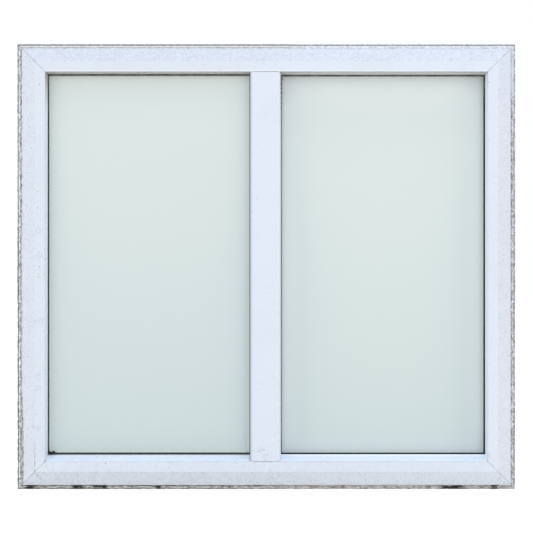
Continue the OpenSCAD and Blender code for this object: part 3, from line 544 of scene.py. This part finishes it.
def gasket_rubber():
    """Extruded EPDM: matt black, greyed by dust that lies thickest near the head."""
    material, tree, shader = new_material("epdm_rubber")
    place = Place(tree)
    dusty = add(tree, "MapRange", (place.from_top, *RUBBER_DUST_FALL, *RUBBER_DUST_DEPTH), **SOFT)
    patchy = patches(tree, place.vector, **RUBBER_PATCH)
    colour = lay(tree, linear("#121a20"), linear("#8a8a80"), patchy, dusty)
    plug(tree, shader, Base_Color=colour, Roughness=0.6, IOR=1.5,
         Normal=relief(tree, place.vector, size=1.5, depth=0.05, strength=0.4))
    return material


def extruded_aluminium():
    """Mill-finish aluminium: bright, with fine die lines along the bar."""
    material, tree, shader = new_material("mill_aluminium")
    along = add(tree, "Mapping", {"Vector": Place(tree).vector, "Scale": DIE_STRETCH})
    lines = add(tree, "TexNoise", pattern(along, **DIE_LINES))
    roughness = add(tree, "MapRange", (lines, *NOISE_SPAN, *DIE_ROUGHNESS))
    plug(tree, shader, Base_Color=linear("#c4c6c9"), Metallic=1.0, Roughness=roughness,
         Normal=relief(tree, along, **DIE_LINES, depth=0.03, strength=0.4))
    return material


def zinc_plate():
    """Zinc-plated steel: bright grey with a cloudy crystal bloom."""
    material, tree, shader = new_material("zinc_plated_steel")
    bloom = add(tree, "TexNoise", pattern(Place(tree).vector, size=4))
    colour = lay(tree, linear("#9ba1a6"), linear("#c2c7ca"), bloom)
    roughness = add(tree, "MapRange", (bloom, *NOISE_SPAN, *ZINC_ROUGHNESS))
    plug(tree, shader, Base_Color=colour, Metallic=1.0, Roughness=roughness)
    return material


def moulded_nylon():
    """Unfilled nylon: waxy cream with faint flow marks."""
    material, tree, shader = new_material("moulded_nylon")
    place = Place(tree)
    flow = add(tree, "TexNoise", pattern(place.vector, size=12, distortion=1.0))
    colour = lay(tree, linear("#d2ccbb"), linear("#e0dbcd"), flow)
    plug(tree, shader, Base_Color=colour, Roughness=0.45, IOR=1.53, Subsurface_Weight=0.05,
         Normal=relief(tree, place.vector, size=1.5, depth=0.03, strength=0.3))
    return material


def woven_pile():
    """Brush pile: soft grey polypropylene fibres, drawn coarser than life so that they show."""
    material, tree, shader = new_material("woven_pile")
    upright = add(tree, "Mapping", {"Vector": Place(tree).vector, "Scale": PILE_STRETCH})
    fibres = add(tree, "TexNoise", pattern(upright, **PILE_FIBRES))
    colour = lay(tree, linear("#5f6264"), linear("#a3a6a8"), fibres)
    plug(tree, shader, Base_Color=colour, Roughness=0.9,
         Normal=relief(tree, upright, **PILE_FIBRES, depth=0.4, strength=0.8))
    return material


# Mortar and paint: layers from the outer edge inwards, each at a share of the lip's width. The dark grey
# first stops of the head, left, left foot and sill layers are painted shade along the lip's far edge.
HEAD_LAYERS = ((0.0, "#7f8898"), (0.20, "#7d7d80"), (0.34, "#8f857c"), (0.44, "#eceef3"), (0.58, "#f0f2f6"),
               (0.68, "#a3968a"), (0.78, "#cfcbc8"), (0.90, "#eef1f7"))
BARE_HEAD_LAYERS = ((0.0, "#c9d3e3"), (0.14, "#a9aebb"), (0.24, "#6f6e72"), (0.36, "#8f8c8e"),
                    (0.46, "#eef1f7"), (0.64, "#eef1f8"), (0.76, "#dbdce2"), (0.90, "#eaeef6"))
LEFT_LAYERS = ((0.0, "#858a94"), (0.20, "#94918f"), (0.29, "#dfe1e6"), (0.44, "#e4e6ea"), (0.54, "#918883"),
               (0.74, "#a39c97"), (0.86, "#c6c5c8"), (0.97, "#d9dce2"))
LEFT_FOOT_LAYERS = ((0.0, "#2f3743"), (0.18, "#4b515b"), (0.26, "#dfe1e5"), (0.40, "#e4e6e9"),
                    (0.50, "#94887c"), (0.70, "#b3aba4"), (0.82, "#9c938b"), (0.97, "#bdbab9"))
RIGHT_LAYERS = ((0.0, "#cad1dd"), (0.12, "#b8bac1"), (0.24, "#857f7c"), (0.38, "#8f8a8a"), (0.48, "#d3d6de"),
                (0.58, "#c6c6ca"), (0.70, "#b3afaf"), (0.86, "#b1aeb0"), (0.97, "#b3b4ba"))
SILL_LAYERS = ((0.0, "#5c5e64"), (0.12, "#55514d"), (0.24, "#77736f"), (0.36, "#dedede"), (0.46, "#d6d4d1"),
               (0.56, "#7b6a56"), (0.64, "#6a5944"), (0.82, "#867660"), (0.96, "#b1a494"))
SILL_RIGHT_LAYERS = ((0.0, "#aeb5c0"), (0.12, "#9b9ba0"), (0.24, "#a09d9b"), (0.36, "#cccac9"),
                     (0.48, "#b5aca4"), (0.60, "#a3988b"), (0.82, "#b0a597"), (0.96, "#c6bdb2"))
PORE_BROWN = linear("#57432c")
PAINT_FLAKE = linear("#e8eef9")
BARE_LIP = linear("#dfe4ee")
LIME_BLOOM = linear("#e0e9f8")
DAMP_BLACK = linear("#0d0a07")
RIM_PALE = linear("#dfe3ea")
BRINK_PALE = linear("#dde5f2")

LEFT_FOOT_FALL = (0.70, 0.42)  # heights between which the left jamb's layers change
BARE_HEAD_FROM = (0.03, 0.10)  # places along the head between which its layers change
SILL_RIGHT_FROM = (-0.05, 0.08)  # and along the sill
BARE_TOP = (0.17, 0.08)  # distances under the top between which the right jamb becomes bare
BARE_SHARES = (0.2, 0.4)  # of the lip's width, between which that begins
BARE_DEPTH = 0.6

# Torn layers: they run straighter on the head and along the outer part of the jambs
STRIP_STRETCH = (0.5, 0.25)  # along the bars, and along the sill
JAMB_APART = 3.0  # keeps the jambs' patterns from those of the other bars
STRAIGHT_SHARES = (0.55, 0.10)  # of the lip's width, between which the jambs' layers become straight
TEAR = {"size": 6, "detail": 5.0, "roughness": 0.75}
TEAR_DEPTH = 0.8  # in widths of the lip
TEAR_IF_STRAIGHT = 0.25  # what is left of it where the layers run straight

# Patterns in the mortar, with the depths elsewhere and at the sill
MOTTLE = {"size": 5, "detail": 2.0}
MOTTLE_SHIFT = (0.07, 0.29, 0.0)
MOTTLE_VALUE = (0.3, 1.7)
MOTTLE_DEPTH = (0.3, 1.0)  # on the level bars and on the jambs
PORES = {"size": 3.0, "roughness": 0.6, "cut": (0.52, 0.58)}
PORE_DEPTH = (0.68, 0.78)
PORES_ON_HEAD = 0.35
FLAKES = {"size": 3.2, "roughness": 0.6, "cut": (0.51, 0.56)}
FLAKE_SHIFT = (0.31, 0.17, 0.0)
FLAKE_DEPTH = (0.74, 0.40)
FLAKE_SHARES = (0.95, 0.45)  # of the lip's width, between which they begin
FLAKES_IF_STRAIGHT = 0.3
BLOOM_DEPTH = (0.11, 0.05)

# Middle and reach of the damp patches under the sill
DAMP_PATCHES = ((-0.533, 0.022), (-0.425, 0.024), (-0.375, 0.030), (-0.245, 0.010), (0.420, 0.046),
                (0.515, 0.014))
DAMP_CORE_SHARE = 0.3  # of the reach that is damp all through
DAMP_DEPTH = 0.95
SOAK = {"size": 4.5, "detail": 4.0, "roughness": 0.7}
SOAK_SHIFT = (0.11, 0.43, 0.0)
SOAK_GAIN = 0.16  # how much more of a damp patch's middle is soaked
SOAK_CUT = (0.53, 0.62)

# Pale rim: how far it strays, and where it begins and is full
RIM_WAVER = 7 * MM
RIM_FROM = (LIP_W - 2.2 * MM, LIP_W - 1.0 * MM)
RIM_DEPTH = 0.9
BRINK_FROM = (LIP_W - 1.3 * MM, LIP_W - 0.6 * MM)
BRINK_DEPTH = 0.8


class MortarPlace(Place):
    """Where the crust lies: on which bar, how far across the lip, and along which torn layers."""

    def __init__(self, tree):
        super().__init__(tree)
        self.upright = add(tree, "Math", (self.side_u, self.end_u), operation="LESS_THAN")
        level = add(tree, "Math", (1.0, self.upright), operation="SUBTRACT")
        upper = add(tree, "Math", (self.z, height / 2), operation="GREATER_THAN")
        self.on_head = overlap(tree, level, upper)
        self.on_right = add(tree, "Math", (self.x, 0.0), operation="GREATER_THAN")
        elsewhere = add(tree, "Math", (self.upright, self.on_head), operation="MAXIMUM")
        self.at_sill = add(tree, "Math", (1.0, elsewhere), operation="SUBTRACT")

        # Coordinates along and across the bars, drawn out along them
        along = add(tree, "Mix", {0: self.upright, 2: self.x, 3: self.z})
        along = overlap(tree, along, self.sill_or_not(tree, STRIP_STRETCH))
        apart = overlap(tree, self.upright, JAMB_APART)
        self.strip = add(tree, "CombineXYZ", (along, self.edge_u, apart))

        # Share of the lip's width, ragged where the layers are torn
        self.across = add(tree, "Math", (self.edge_u, LIP_W), operation="DIVIDE")
        outer = add(tree, "MapRange", (self.across, *STRAIGHT_SHARES), **SOFT)
        on_jamb = overlap(tree, self.upright, outer)
        self.straight = add(tree, "Math", (on_jamb, self.on_head), operation="MAXIMUM")
        tear = add(tree, "TexNoise", pattern(self.strip, **TEAR))
        self.tear = add(tree, "Math", (tear, 0.5), operation="SUBTRACT")
        kept = add(tree, "Mix", {0: self.straight, 2: 1.0, 3: TEAR_IF_STRAIGHT})
        ragged = overlap(tree, self.tear, kept)
        self.share = add(tree, "Math", (ragged, TEAR_DEPTH, self.across), operation="MULTIPLY_ADD")

    def sill_or_not(self, tree, depths):
        """A depth that is the first of two, and at the sill the second."""
        elsewhere, at_sill = depths
        return add(tree, "Mix", {0: self.at_sill, 2: elsewhere, 3: at_sill})

    def shifted(self, tree, shift):
        """The strip's coordinates moved, so that another pattern falls differently."""
        return add(tree, "Mapping", {"Vector": self.strip, "Location": shift})


def layer_colours(tree, share, layers):
    """Colour of the residue at a share of the lip's width."""
    made = add(tree, "ValToRGB", (share,))
    stops = made.node.color_ramp.elements
    for stop, (at, colour) in zip((stops[0], stops[1]), layers):
        stop.position = at
        stop.color = linear(colour)
    for at, colour in layers[2:]:
        stops.new(at).color = linear(colour)
    return made


def mortar_layers(tree, place):
    """Layers of mortar and paint of the four bars, mottled most on the jambs, with painted shade along the
    outer edge.
    """
    def change(along, span, first, second):
        before = layer_colours(tree, place.share, first)
        after = layer_colours(tree, place.share, second)
        return lay(tree, before, after, add(tree, "MapRange", (along, *span), **SOFT))

    left = change(place.z, LEFT_FOOT_FALL, LEFT_LAYERS, LEFT_FOOT_LAYERS)
    jambs = lay(tree, left, layer_colours(tree, place.share, RIGHT_LAYERS), place.on_right)
    head = change(place.x, BARE_HEAD_FROM, HEAD_LAYERS, BARE_HEAD_LAYERS)
    sill = change(place.x, SILL_RIGHT_FROM, SILL_LAYERS, SILL_RIGHT_LAYERS)
    colour = lay(tree, lay(tree, sill, head, place.on_head), jambs, place.upright)

    mottle = add(tree, "TexNoise", pattern(place.shifted(tree, MOTTLE_SHIFT), **MOTTLE))
    mottle = add(tree, "MapRange", (mottle, *NOISE_SPAN, *MOTTLE_VALUE))
    depth = add(tree, "MapRange", (place.upright, 0.0, 1.0, *MOTTLE_DEPTH))
    return add(tree, "HueSaturation", {"Value": mottle, "Fac": depth, "Color": colour})


def pores_and_flakes(tree, place, colour):
    """Brown pores and crumbs, deepest along the sill, and flakes of white paint, faintest there."""
    pores = patches(tree, place.strip, **PORES)
    depth = place.sill_or_not(tree, PORE_DEPTH)
    off_head = add(tree, "Mix", {0: place.on_head, 2: 1.0, 3: PORES_ON_HEAD})
    colour = lay(tree, colour, PORE_BROWN, pores, depth, off_head)

    flakes = patches(tree, place.shifted(tree, FLAKE_SHIFT), **FLAKES)
    depth = place.sill_or_not(tree, FLAKE_DEPTH)
    outer = add(tree, "MapRange", (place.share, *FLAKE_SHARES), **SOFT)
    torn = add(tree, "Mix", {0: place.straight, 2: 1.0, 3: FLAKES_IF_STRAIGHT})
    return lay(tree, colour, PAINT_FLAKE, flakes, depth, outer, torn)


def bare_and_damp(tree, place, colour):
    """The almost bare top of the right jamb, a lime bloom over all, and black damp patches along the sill."""
    near_top = add(tree, "MapRange", (place.from_top, *BARE_TOP), **SOFT)
    inner = add(tree, "MapRange", (place.across, *BARE_SHARES), **SOFT)
    colour = lay(tree, colour, BARE_LIP, near_top, place.upright, place.on_right, inner, BARE_DEPTH)
    colour = lay(tree, colour, LIME_BLOOM, place.sill_or_not(tree, BLOOM_DEPTH))

    damp = 0.0
    for middle, reach in DAMP_PATCHES:
        patch = add(tree, "MapRange", (gap(tree, place.x, middle), reach, DAMP_CORE_SHARE * reach), **SOFT)
        damp = add(tree, "Math", (damp, patch), operation="MAXIMUM")
    soaked = add(tree, "TexNoise", pattern(place.shifted(tree, SOAK_SHIFT), **SOAK))
    soaked = add(tree, "Math", (damp, SOAK_GAIN, soaked), operation="MULTIPLY_ADD")
    soaked = add(tree, "MapRange", (soaked, *SOAK_CUT), **SOFT)
    return lay(tree, colour, DAMP_BLACK, damp, soaked, place.at_sill, DAMP_DEPTH)


def pale_rims(tree, place, colour):
    """A pale rim where the crust meets the step, along the sill and on the upper left."""
    high = add(tree, "Math", (place.z, FOOT_FROM), operation="GREATER_THAN")
    left = add(tree, "Math", (place.x, 0.0), operation="LESS_THAN")
    upper_left = overlap(tree, place.upright, high, left)
    there = add(tree, "Math", (place.at_sill, upper_left), operation="MAXIMUM")
    wavering_u = add(tree, "Math", (place.tear, RIM_WAVER, place.edge_u), operation="MULTIPLY_ADD")
    rim = add(tree, "MapRange", (wavering_u, *RIM_FROM), **SOFT)
    colour = lay(tree, colour, RIM_PALE, rim, there, RIM_DEPTH)
    brink = add(tree, "MapRange", (place.edge_u, *BRINK_FROM), **SOFT)
    return lay(tree, colour, BRINK_PALE, brink, there, BRINK_DEPTH)


def mortar_and_paint():
    """Cement mortar under flaking white paint, torn off in layers: gritty, matt and uneven in colour, with
    painted shade along its outer edge.
    """
    material, tree, shader = new_material("mortar_and_paint")
    place = MortarPlace(tree)
    colour = mortar_layers(tree, place)
    colour = pores_and_flakes(tree, place, colour)
    colour = bare_and_damp(tree, place, colour)
    colour = pale_rims(tree, place, colour)
    plug(tree, shader, Base_Color=colour, Roughness=0.9,
         Normal=relief(tree, place.vector, size=2.4, detail=5.0, roughness=0.7, depth=0.6, strength=0.8))
    return material


def settled_dirt(name, dark, pale, size, roughness):
    """Settled dirt: matt brown crumbs where it is dry, black and a little less matt where it is wet."""
    material, tree, shader = new_material(name)
    grain = add(tree, "TexNoise", pattern(Place(tree).vector, size))
    plug(tree, shader, Base_Color=lay(tree, linear(dark), linear(pale), grain), Roughness=roughness)
    return material


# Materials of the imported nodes
FRAME_PVC = weathered_light_painted_pvc("weathered_light_painted_white_pvc", PVC_WHITE, RETURN_LIGHT_DEPTH, HEAD_HIGHLIGHT_Z)
# The sill slope's white is painted lighter and bluer: painted sky light
SLOPE_PVC = weathered_light_painted_pvc("skylight_painted_white_pvc", PVC_PAINTED_SKYLIGHT, 0.0, SLOPE_HIGHLIGHT_Z)
FIXED_GLASS = frosted_glass("frosted_glass_fixed", FIXED_SIGHT, FIXED_SHADING_TONES, FIXED_EDGE_SHADING, fixed_low[1])
SASH_GLASS = frosted_glass("frosted_glass_sash", SASH_SIGHT, SASH_SHADING_TONES, SASH_EDGE_LIGHTING, sash_low[1])
MORTAR = mortar_and_paint()
DIRT = settled_dirt("settled_dirt", "#4a423a", "#8f857a", size=1.5, roughness=0.95)
CRUMBS = settled_dirt("brown_crumbs", "#33251a", "#8f7259", size=1.5, roughness=0.95)
GRIME = settled_dirt("black_grime", "#0c0d0e", "#2a2826", size=2, roughness=0.7)

BY_SLOT = {"white_pvc": clean_pvc(), "black_rubber": gasket_rubber(), "mill_aluminium": extruded_aluminium(),
           "zinc_steel": zinc_plate(), "cream_nylon": moulded_nylon(), "grey_pile": woven_pile(),
           "mortar": MORTAR}
BY_NODE = {"frame_head": FRAME_PVC, "frame_sill": FRAME_PVC, "frame_jamb_left": FRAME_PVC,
           "frame_jamb_right": FRAME_PVC, "mullion": FRAME_PVC, "sill_slope": SLOPE_PVC,
           "fixed_pane": FIXED_GLASS, "sash_pane": SASH_GLASS}
for part in frame["record"]["subparts"]:
    node_name = part["node"]
    node_mesh = frame["nodes"][node_name].data
    node_mesh.materials.clear()
    node_mesh.materials.append(BY_NODE.get(node_name) or BY_SLOT[part["material_slot"]])

# Mortar crust on the outer lip
CRUST_PITCH = 1.3 * MM
CRUST_ROWS = 10
CRUST_SPREAD = 1.4 * MM  # how raggedly the crust ends
CRUST_NOTCH = 7 * MM  # length of the notches in its end
CRUST_SKIN = 0.12 * MM
FOOT_FADE = 0.09  # height over which the wider foot tapers out
LUMP_L = 9 * MM
LUMP_W = 4 * MM
LUMP_FRACTAL = (0.7, 2.1, 4)  # dimension, step between octaves and their number
# Heights of the crust's floor, ridge and lumps, as shares of the step
FLOOR_SHARE = 0.22
RIDGE_SHARE = 0.42
LUMP_SHARE = 0.30
RIDGE_SPAN_SHARES = (0.12, 0.92)  # of the ridge's arch, at the outer edge and at the step
SEED_STEP = 11.3
# Reach, rim, foot and past of crust_side, in millimetres
SILL_CRUST = (10.6, 1.9, 0, 0)
LEFT_CRUST = (10.4, 1.4, 3.0, 2.0)
HEAD_CRUST = (10.2, 0.4, 0, 0.5)
RIGHT_CRUST = (10.4, 0.4, 0, 0)


def within_unit(value):
    """A value kept between 0 and 1."""
    return min(1, max(0, value))


def crust_height(s, u, seed):
    """Height of the crust over the lip at a place along and across it."""
    lumps = noise.fractal(Vector((s / LUMP_L, u / LUMP_W, seed)), *LUMP_FRACTAL)
    start, end = RIDGE_SPAN_SHARES
    ridge = math.sin(math.pi * within_unit(start + (end - start) * u / LIP_W))
    return max(CRUST_SKIN, STEP * (FLOOR_SHARE + RIDGE_SHARE * ridge + LUMP_SHARE * lumps))


def crust_side(bm, length, seed, turn, reach, rim, foot, past):
    """One mitred strip of crust: a grid raised into lumps and closed by a flat underside.

    reach is its width, and within rim of the step it is level with the edge of the bevel. foot widens its low
    end, and past is how far it comes over the outer edge.
    """
    columns = int(length / CRUST_PITCH)
    made = bmesh.ops.create_grid(bm, x_segments=columns, y_segments=CRUST_ROWS, size=0.5)["verts"]
    for vert in made:
        along = vert.co.x * length
        ragged = 0.5 + 0.5 * noise.noise(Vector((along / CRUST_NOTCH, seed, 2)))
        low = within_unit((FOOT_FROM - (turn @ Vector((along, 0, 0))).z) / FOOT_FADE)
        width = reach + CRUST_SPREAD * (ragged - 0.5) + foot * low
        u = (vert.co.y + 0.5) * (width + past * ragged) - past * ragged
        s = vert.co.x * (length - 2 * max(0, u))
        rise = crust_height(s, u, seed)
        if u > LIP_W - rim:
            rise = max(rise, STEP + max(0, u - LIP_W) * BEVEL_SLOPE + CRUST_SKIN)
        vert.co = turn @ Vector((s, front_y + LIP_DEPTH - rise, u))
    faces = list({face for vert in made for face in vert.link_faces})
    under = bmesh.ops.extrude_face_region(bm, geom=faces)["geom"]
    for vert in (item for item in under if isinstance(item, bmesh.types.BMVert)):
        vert.co.y = front_y + LIP_DEPTH + CRUST_SKIN


def finish_mesh(name, bm, material, body, smooth=False):
    """Turns a bmesh into a piece of the object."""
    bmesh.ops.recalc_face_normals(bm, faces=bm.faces)
    mesh = bpy.data.meshes.new(name)
    bm.to_mesh(mesh)
    bm.free()
    for polygon in mesh.polygons:
        polygon.use_smooth = smooth
    mesh.materials.append(material)
    piece = bpy.data.objects.new(name, mesh)
    bpy.context.collection.objects.link(piece)
    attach(piece, body)
    return piece


def mortar_crust():
    """The crust of all four bars, each strip turned about the window's middle."""
    bm = bmesh.new()
    middle = Matrix.Translation((0, 0, height / 2))
    sides = ((2 * half_w, height / 2, SILL_CRUST), (height, half_w, LEFT_CRUST),
             (2 * half_w, height / 2, HEAD_CRUST), (height, half_w, RIGHT_CRUST))
    for number, (length, away, widths) in enumerate(sides):
        quarter = Matrix.Rotation(math.radians(90 * number), 4, "Y")
        turn = middle @ quarter @ Matrix.Translation((0, 0, -away))
        crust_side(bm, length, SEED_STEP * (number + 1), turn, *(width * MM for width in widths))
    piece = finish_mesh("mortar_crust", bm, MORTAR, "frame")
    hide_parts("mortar_residue")


mortar_crust()

# Dirt, placed where the photograph shows it: (column, row, width in millimetres) of specks and stains
SPECKS = (
    (39.3, 84.5, 2.6), (24.0, 78.5, 1.6), (38.7, 78.0, 1.4), (30.6, 113.8, 2.0), (29.0, 127.2, 2.4),
    (23.6, 60.2, 1.6), (26.5, 56.5, 2.0), (47.0, 98.5, 1.6), (46.7, 113.5, 2.0), (33.2, 451.0, 2.4),
    (44.5, 461.7, 3.0), (76.3, 462.8, 2.0), (105.6, 463.2, 2.4), (75.6, 456.2, 1.6), (36.5, 414.5, 1.8),
    (24.5, 419.5, 1.6), (33.5, 427.8, 2.0), (35.0, 473.8, 3.0), (37.2, 475.8, 2.2), (271.4, 477.0, 2.6),
    (281.2, 475.2, 1.8), (257.6, 483.2, 2.6), (238.7, 481.0, 2.0), (236.5, 463.6, 2.0), (252.0, 473.8, 2.2),
    (287.6, 481.5, 1.8), (499.2, 478.8, 3.0), (503.8, 482.8, 2.4), (487.4, 436.8, 1.8), (499.0, 428.3, 2.0),
    (262.3, 63.5, 2.0), (241.5, 62.0, 1.6), (100.4, 50.0, 2.2), (114.0, 61.0, 1.4), (252.0, 120.5, 1.4),
    (253.4, 450.5, 2.0), (259.0, 451.5, 2.6), (264.0, 450.0, 2.2), (488.8, 82.0, 2.0), (488.4, 92.0, 1.6),
    (23.6, 185.2, 1.8), (25.5, 187.5, 1.2), (37.4, 191.8, 2.2), (35.1, 196.5, 1.2), (24.6, 199.4, 1.2),
    (28.5, 199.2, 1.2), (37.4, 207.9, 2.2), (29.6, 211.3, 1.6), (23.6, 216.0, 1.2), (23.6, 228.2, 1.6),
    (25.4, 229.8, 1.6), (24.3, 232.3, 1.2), (33.3, 234.5, 1.2), (24.4, 239.4, 1.4), (23.7, 241.8, 1.2),
    (23.7, 245.2, 1.6), (33.4, 248.5, 1.4), (26.0, 253.5, 1.2), (44.4, 249.5, 1.6), (44.5, 259.3, 1.6),
    (39.6, 259.0, 1.4), (41.6, 257.4, 1.4), (34.6, 265.4, 1.6), (39.4, 266.7, 3.0), (44.2, 266.3, 1.4),
    (38.6, 274.0, 2.0), (37.6, 276.4, 2.2), (39.0, 277.6, 1.6), (44.2, 274.0, 1.4), (32.6, 273.3, 1.4),
    (38.3, 311.3, 1.4), (44.2, 330.3, 1.6), (46.7, 350.0, 1.8), (44.7, 359.0, 1.4), (43.7, 370.3, 1.6),
    (24.2, 376.3, 1.6), (25.0, 332.5, 1.2), (33.3, 354.0, 1.2), (33.3, 425.8, 1.4), (27.5, 436.7, 1.4),
)
# Crumbs on the right and left side of the mullion, below the head: (row, width in millimetres)
RIGHT_CRUMBS = ((75.2, 4.0), (77.2, 4.6), (79.4, 5.2), (81.6, 4.0), (83.7, 4.4), (86.2, 3.2), (88.4, 4.2),
                (92.4, 4.6), (97.5, 4.0), (103.0, 3.0), (108.5, 2.6), (120.0, 3.0))
LEFT_CRUMBS = ((77.0, 2.4), (86.5, 2.6), (98.0, 2.0))
CRUMB_DEPTH = 5 * MM  # behind the face of the mullion
CRUMB_ASIDE = LIP_W  # how far beside the mullion the search for its side starts
# Grime in the lower left corner of the fixed light
CORNER_GRIME = ((49.8, 453.0, 7.5), (51.2, 453.5, 8.5), (52.6, 453.0, 9.0), (53.8, 452.5, 8.5),
                (55.2, 453.2, 6.5), (49.4, 451.2, 2.4), (49.0, 443.0, 1.8))
# Broken lines of dirt in the joints at the foot and the head of the mullion: (column, row, length)
JOINT_DASHES = ((256.8, 461.9, 13.0), (263.2, 462.0, 14.0), (270.2, 462.0, 15.0), (277.6, 461.9, 8.0),
                (258.0, 71.7, 24.0), (266.5, 71.8, 22.0), (274.6, 71.7, 22.0))
# Half sizes of flecks and dashes, as shares of their width or length
FLECK_L_SHARES = (0.35, 0.5)
FLECK_W_SHARES = (0.25, 0.5)
SPECK_THICK_SHARE = 0.16
CRUMB_THICK_SHARE = 0.85
GRIME_THICK_SHARE = 0.4
DASH_L_SHARE = 0.5
DASH_W_SHARE = 0.019
FLECK_LUMP_SHARE = 0.35  # how far a fleck's lumps stand out
FLECK_LUMPS = 1.4  # how many lumps it has across half its width
SEED_RANGE = (0, 100)
draw = random.Random(7)


def through(places):
    """Rays from the camera through places in the photograph, with the widths of what lies there."""
    return [(camera_at, photo_ray(px, py), width) for px, py, width in places]


def beside_mullion(edge_x, side, places):
    """Level rays onto one side of the mullion at rows of the photograph, with widths."""
    rays = []
    for row, width in places:
        z = photo_place(CENTRE_PX[0], row).z
        start = Vector((edge_x + side * CRUMB_ASIDE, front_y + CRUMB_DEPTH, z))
        rays.append((start, Vector((-side, 0, 0)), width))
    return rays


def lay_fleck(bm, start, ray, width, thick):
    """A flat fleck where a ray meets the window, or a thin level dash if no thickness is given."""
    depsgraph = bpy.context.evaluated_depsgraph_get()
    hit, at, normal, *_ = bpy.context.scene.ray_cast(depsgraph, start, ray)
    if not hit:
        return
    if thick is None:
        turn = Matrix.Identity(4)
        shares = (DASH_L_SHARE, DASH_W_SHARE, DASH_W_SHARE)
    else:
        spin = Matrix.Rotation(draw.uniform(0, math.tau), 4, "Z")
        turn = normal.to_track_quat("Z", "Y").to_matrix().to_4x4() @ spin
        shares = (draw.uniform(*FLECK_L_SHARES), draw.uniform(*FLECK_W_SHARES), thick)
    size = Matrix.Diagonal((*(width * share for share in shares), 1))
    made = bmesh.ops.create_icosphere(bm, subdivisions=2, radius=1, matrix=Matrix.Identity(4))["verts"]
    seed = Vector((draw.uniform(*SEED_RANGE), 0, 0))
    for vert in made:
        vert.co *= 1 + FLECK_LUMP_SHARE * noise.noise(vert.co * FLECK_LUMPS + seed)
    bmesh.ops.transform(bm, matrix=Matrix.Translation(at) @ turn @ size, verts=made)


def dirt_piece(name, rays, material, thick=None):
    """One piece of all the flecks or dashes where the rays meet the window."""
    bm = bmesh.new()
    for start, ray, width in rays:
        lay_fleck(bm, start, ray, width * MM, thick)
    finish_mesh(name, bm, material, "frame", smooth=True)


bpy.context.view_layer.update()
crumb_rays = beside_mullion(mullion_right, 1, RIGHT_CRUMBS) + beside_mullion(mullion_left, -1, LEFT_CRUMBS)
dirt_piece("dirt_specks", through(SPECKS), DIRT, SPECK_THICK_SHARE)
dirt_piece("mullion_crumbs", crumb_rays, CRUMBS, CRUMB_THICK_SHARE)
dirt_piece("corner_grime", through(CORNER_GRIME), GRIME, GRIME_THICK_SHARE)
dirt_piece("joint_dirt", through(JOINT_DASHES), DIRT)

# Floor, light and camera
AMBIENT = 1.22
AMBIENT_COLOUR = (0.90, 0.945, 1.0, 1)
KEY_WATTS = 8
KEY_COLOUR = (0.82, 0.92, 1.0)
KEY_AT = Vector((0, -0.9, 3.3))
KEY_TARGET = Vector((0, 0, 0.5))
KEY_SIZE = 2.4
FLOOR_GLOW = 0.4
FLOOR_HALF = 30


def lit_background(tree):
    """1 for rays that should see the plain white background."""
    path = add(tree, "LightPath").node.outputs
    seen = add(tree, "Math", (path["Is Camera Ray"], path["Is Glossy Ray"]), operation="MAXIMUM")
    return add(tree, "Math", (seen, path["Is Transmission Ray"]), operation="MAXIMUM")


def studio_world():
    """Even, slightly blue light from all round, in front of a white background."""
    world = bpy.data.worlds.new("studio")
    bpy.context.scene.world = world
    world.use_nodes = True
    sky = world.node_tree
    seen = lit_background(sky)
    level = add(sky, "MapRange", (seen, 0.0, 1.0, AMBIENT, 1.0))
    plug(sky, sky.nodes["Background"], Strength=level, Color=lay(sky, AMBIENT_COLOUR, PURE_WHITE, seen))


def pale_floor():
    """Wide matt floor that fades into the background."""
    bm = bmesh.new()
    bmesh.ops.create_grid(bm, x_segments=1, y_segments=1, size=FLOOR_HALF)
    mesh = bpy.data.meshes.new("floor")
    bm.to_mesh(mesh)
    bm.free()
    floor = bpy.data.objects.new("floor", mesh)
    bpy.context.collection.objects.link(floor)
    material, tree, shader = new_material("pale_floor")
    glow = overlap(tree, lit_background(tree), FLOOR_GLOW)
    plug(tree, shader, Base_Color=linear("#e6dfd2"), Roughness=0.9, Specular_IOR_Level=0.0,
         Emission_Color=PURE_WHITE, Emission_Strength=glow)
    mesh.materials.append(material)


def key_light():
    """Large soft lamp above the window."""
    lamp = bpy.data.lights.new("key_above", "AREA")
    lamp.shape = "SQUARE"
    lamp.size = KEY_SIZE
    lamp.energy = KEY_WATTS
    lamp.color = KEY_COLOUR
    made = bpy.data.objects.new("key_above", lamp)
    made.location = KEY_AT
    made.rotation_euler = (KEY_TARGET - KEY_AT).to_track_quat("-Z", "Y").to_euler()
    bpy.context.collection.objects.link(made)


def photo_camera():
    """Level camera in front of the window, its lens shifted so that the window is framed as photographed."""
    lens = bpy.data.cameras.new("camera")
    lens.lens = LENS
    lens.sensor_width = SENSOR
    lens.shift_x = -CAMERA_ASIDE[0] / CAMERA_BACK * LENS / SENSOR
    lens.shift_y = -CAMERA_ASIDE[1] / CAMERA_BACK * LENS / SENSOR
    camera = bpy.data.objects.new("camera", lens)
    camera.location = camera_at
    camera.rotation_euler = (math.radians(90), 0, 0)
    bpy.context.collection.objects.link(camera)
    bpy.context.scene.camera = camera


studio_world()
pale_floor()
key_light()
photo_camera()
bpy.context.scene.view_settings.view_transform = "Standard"
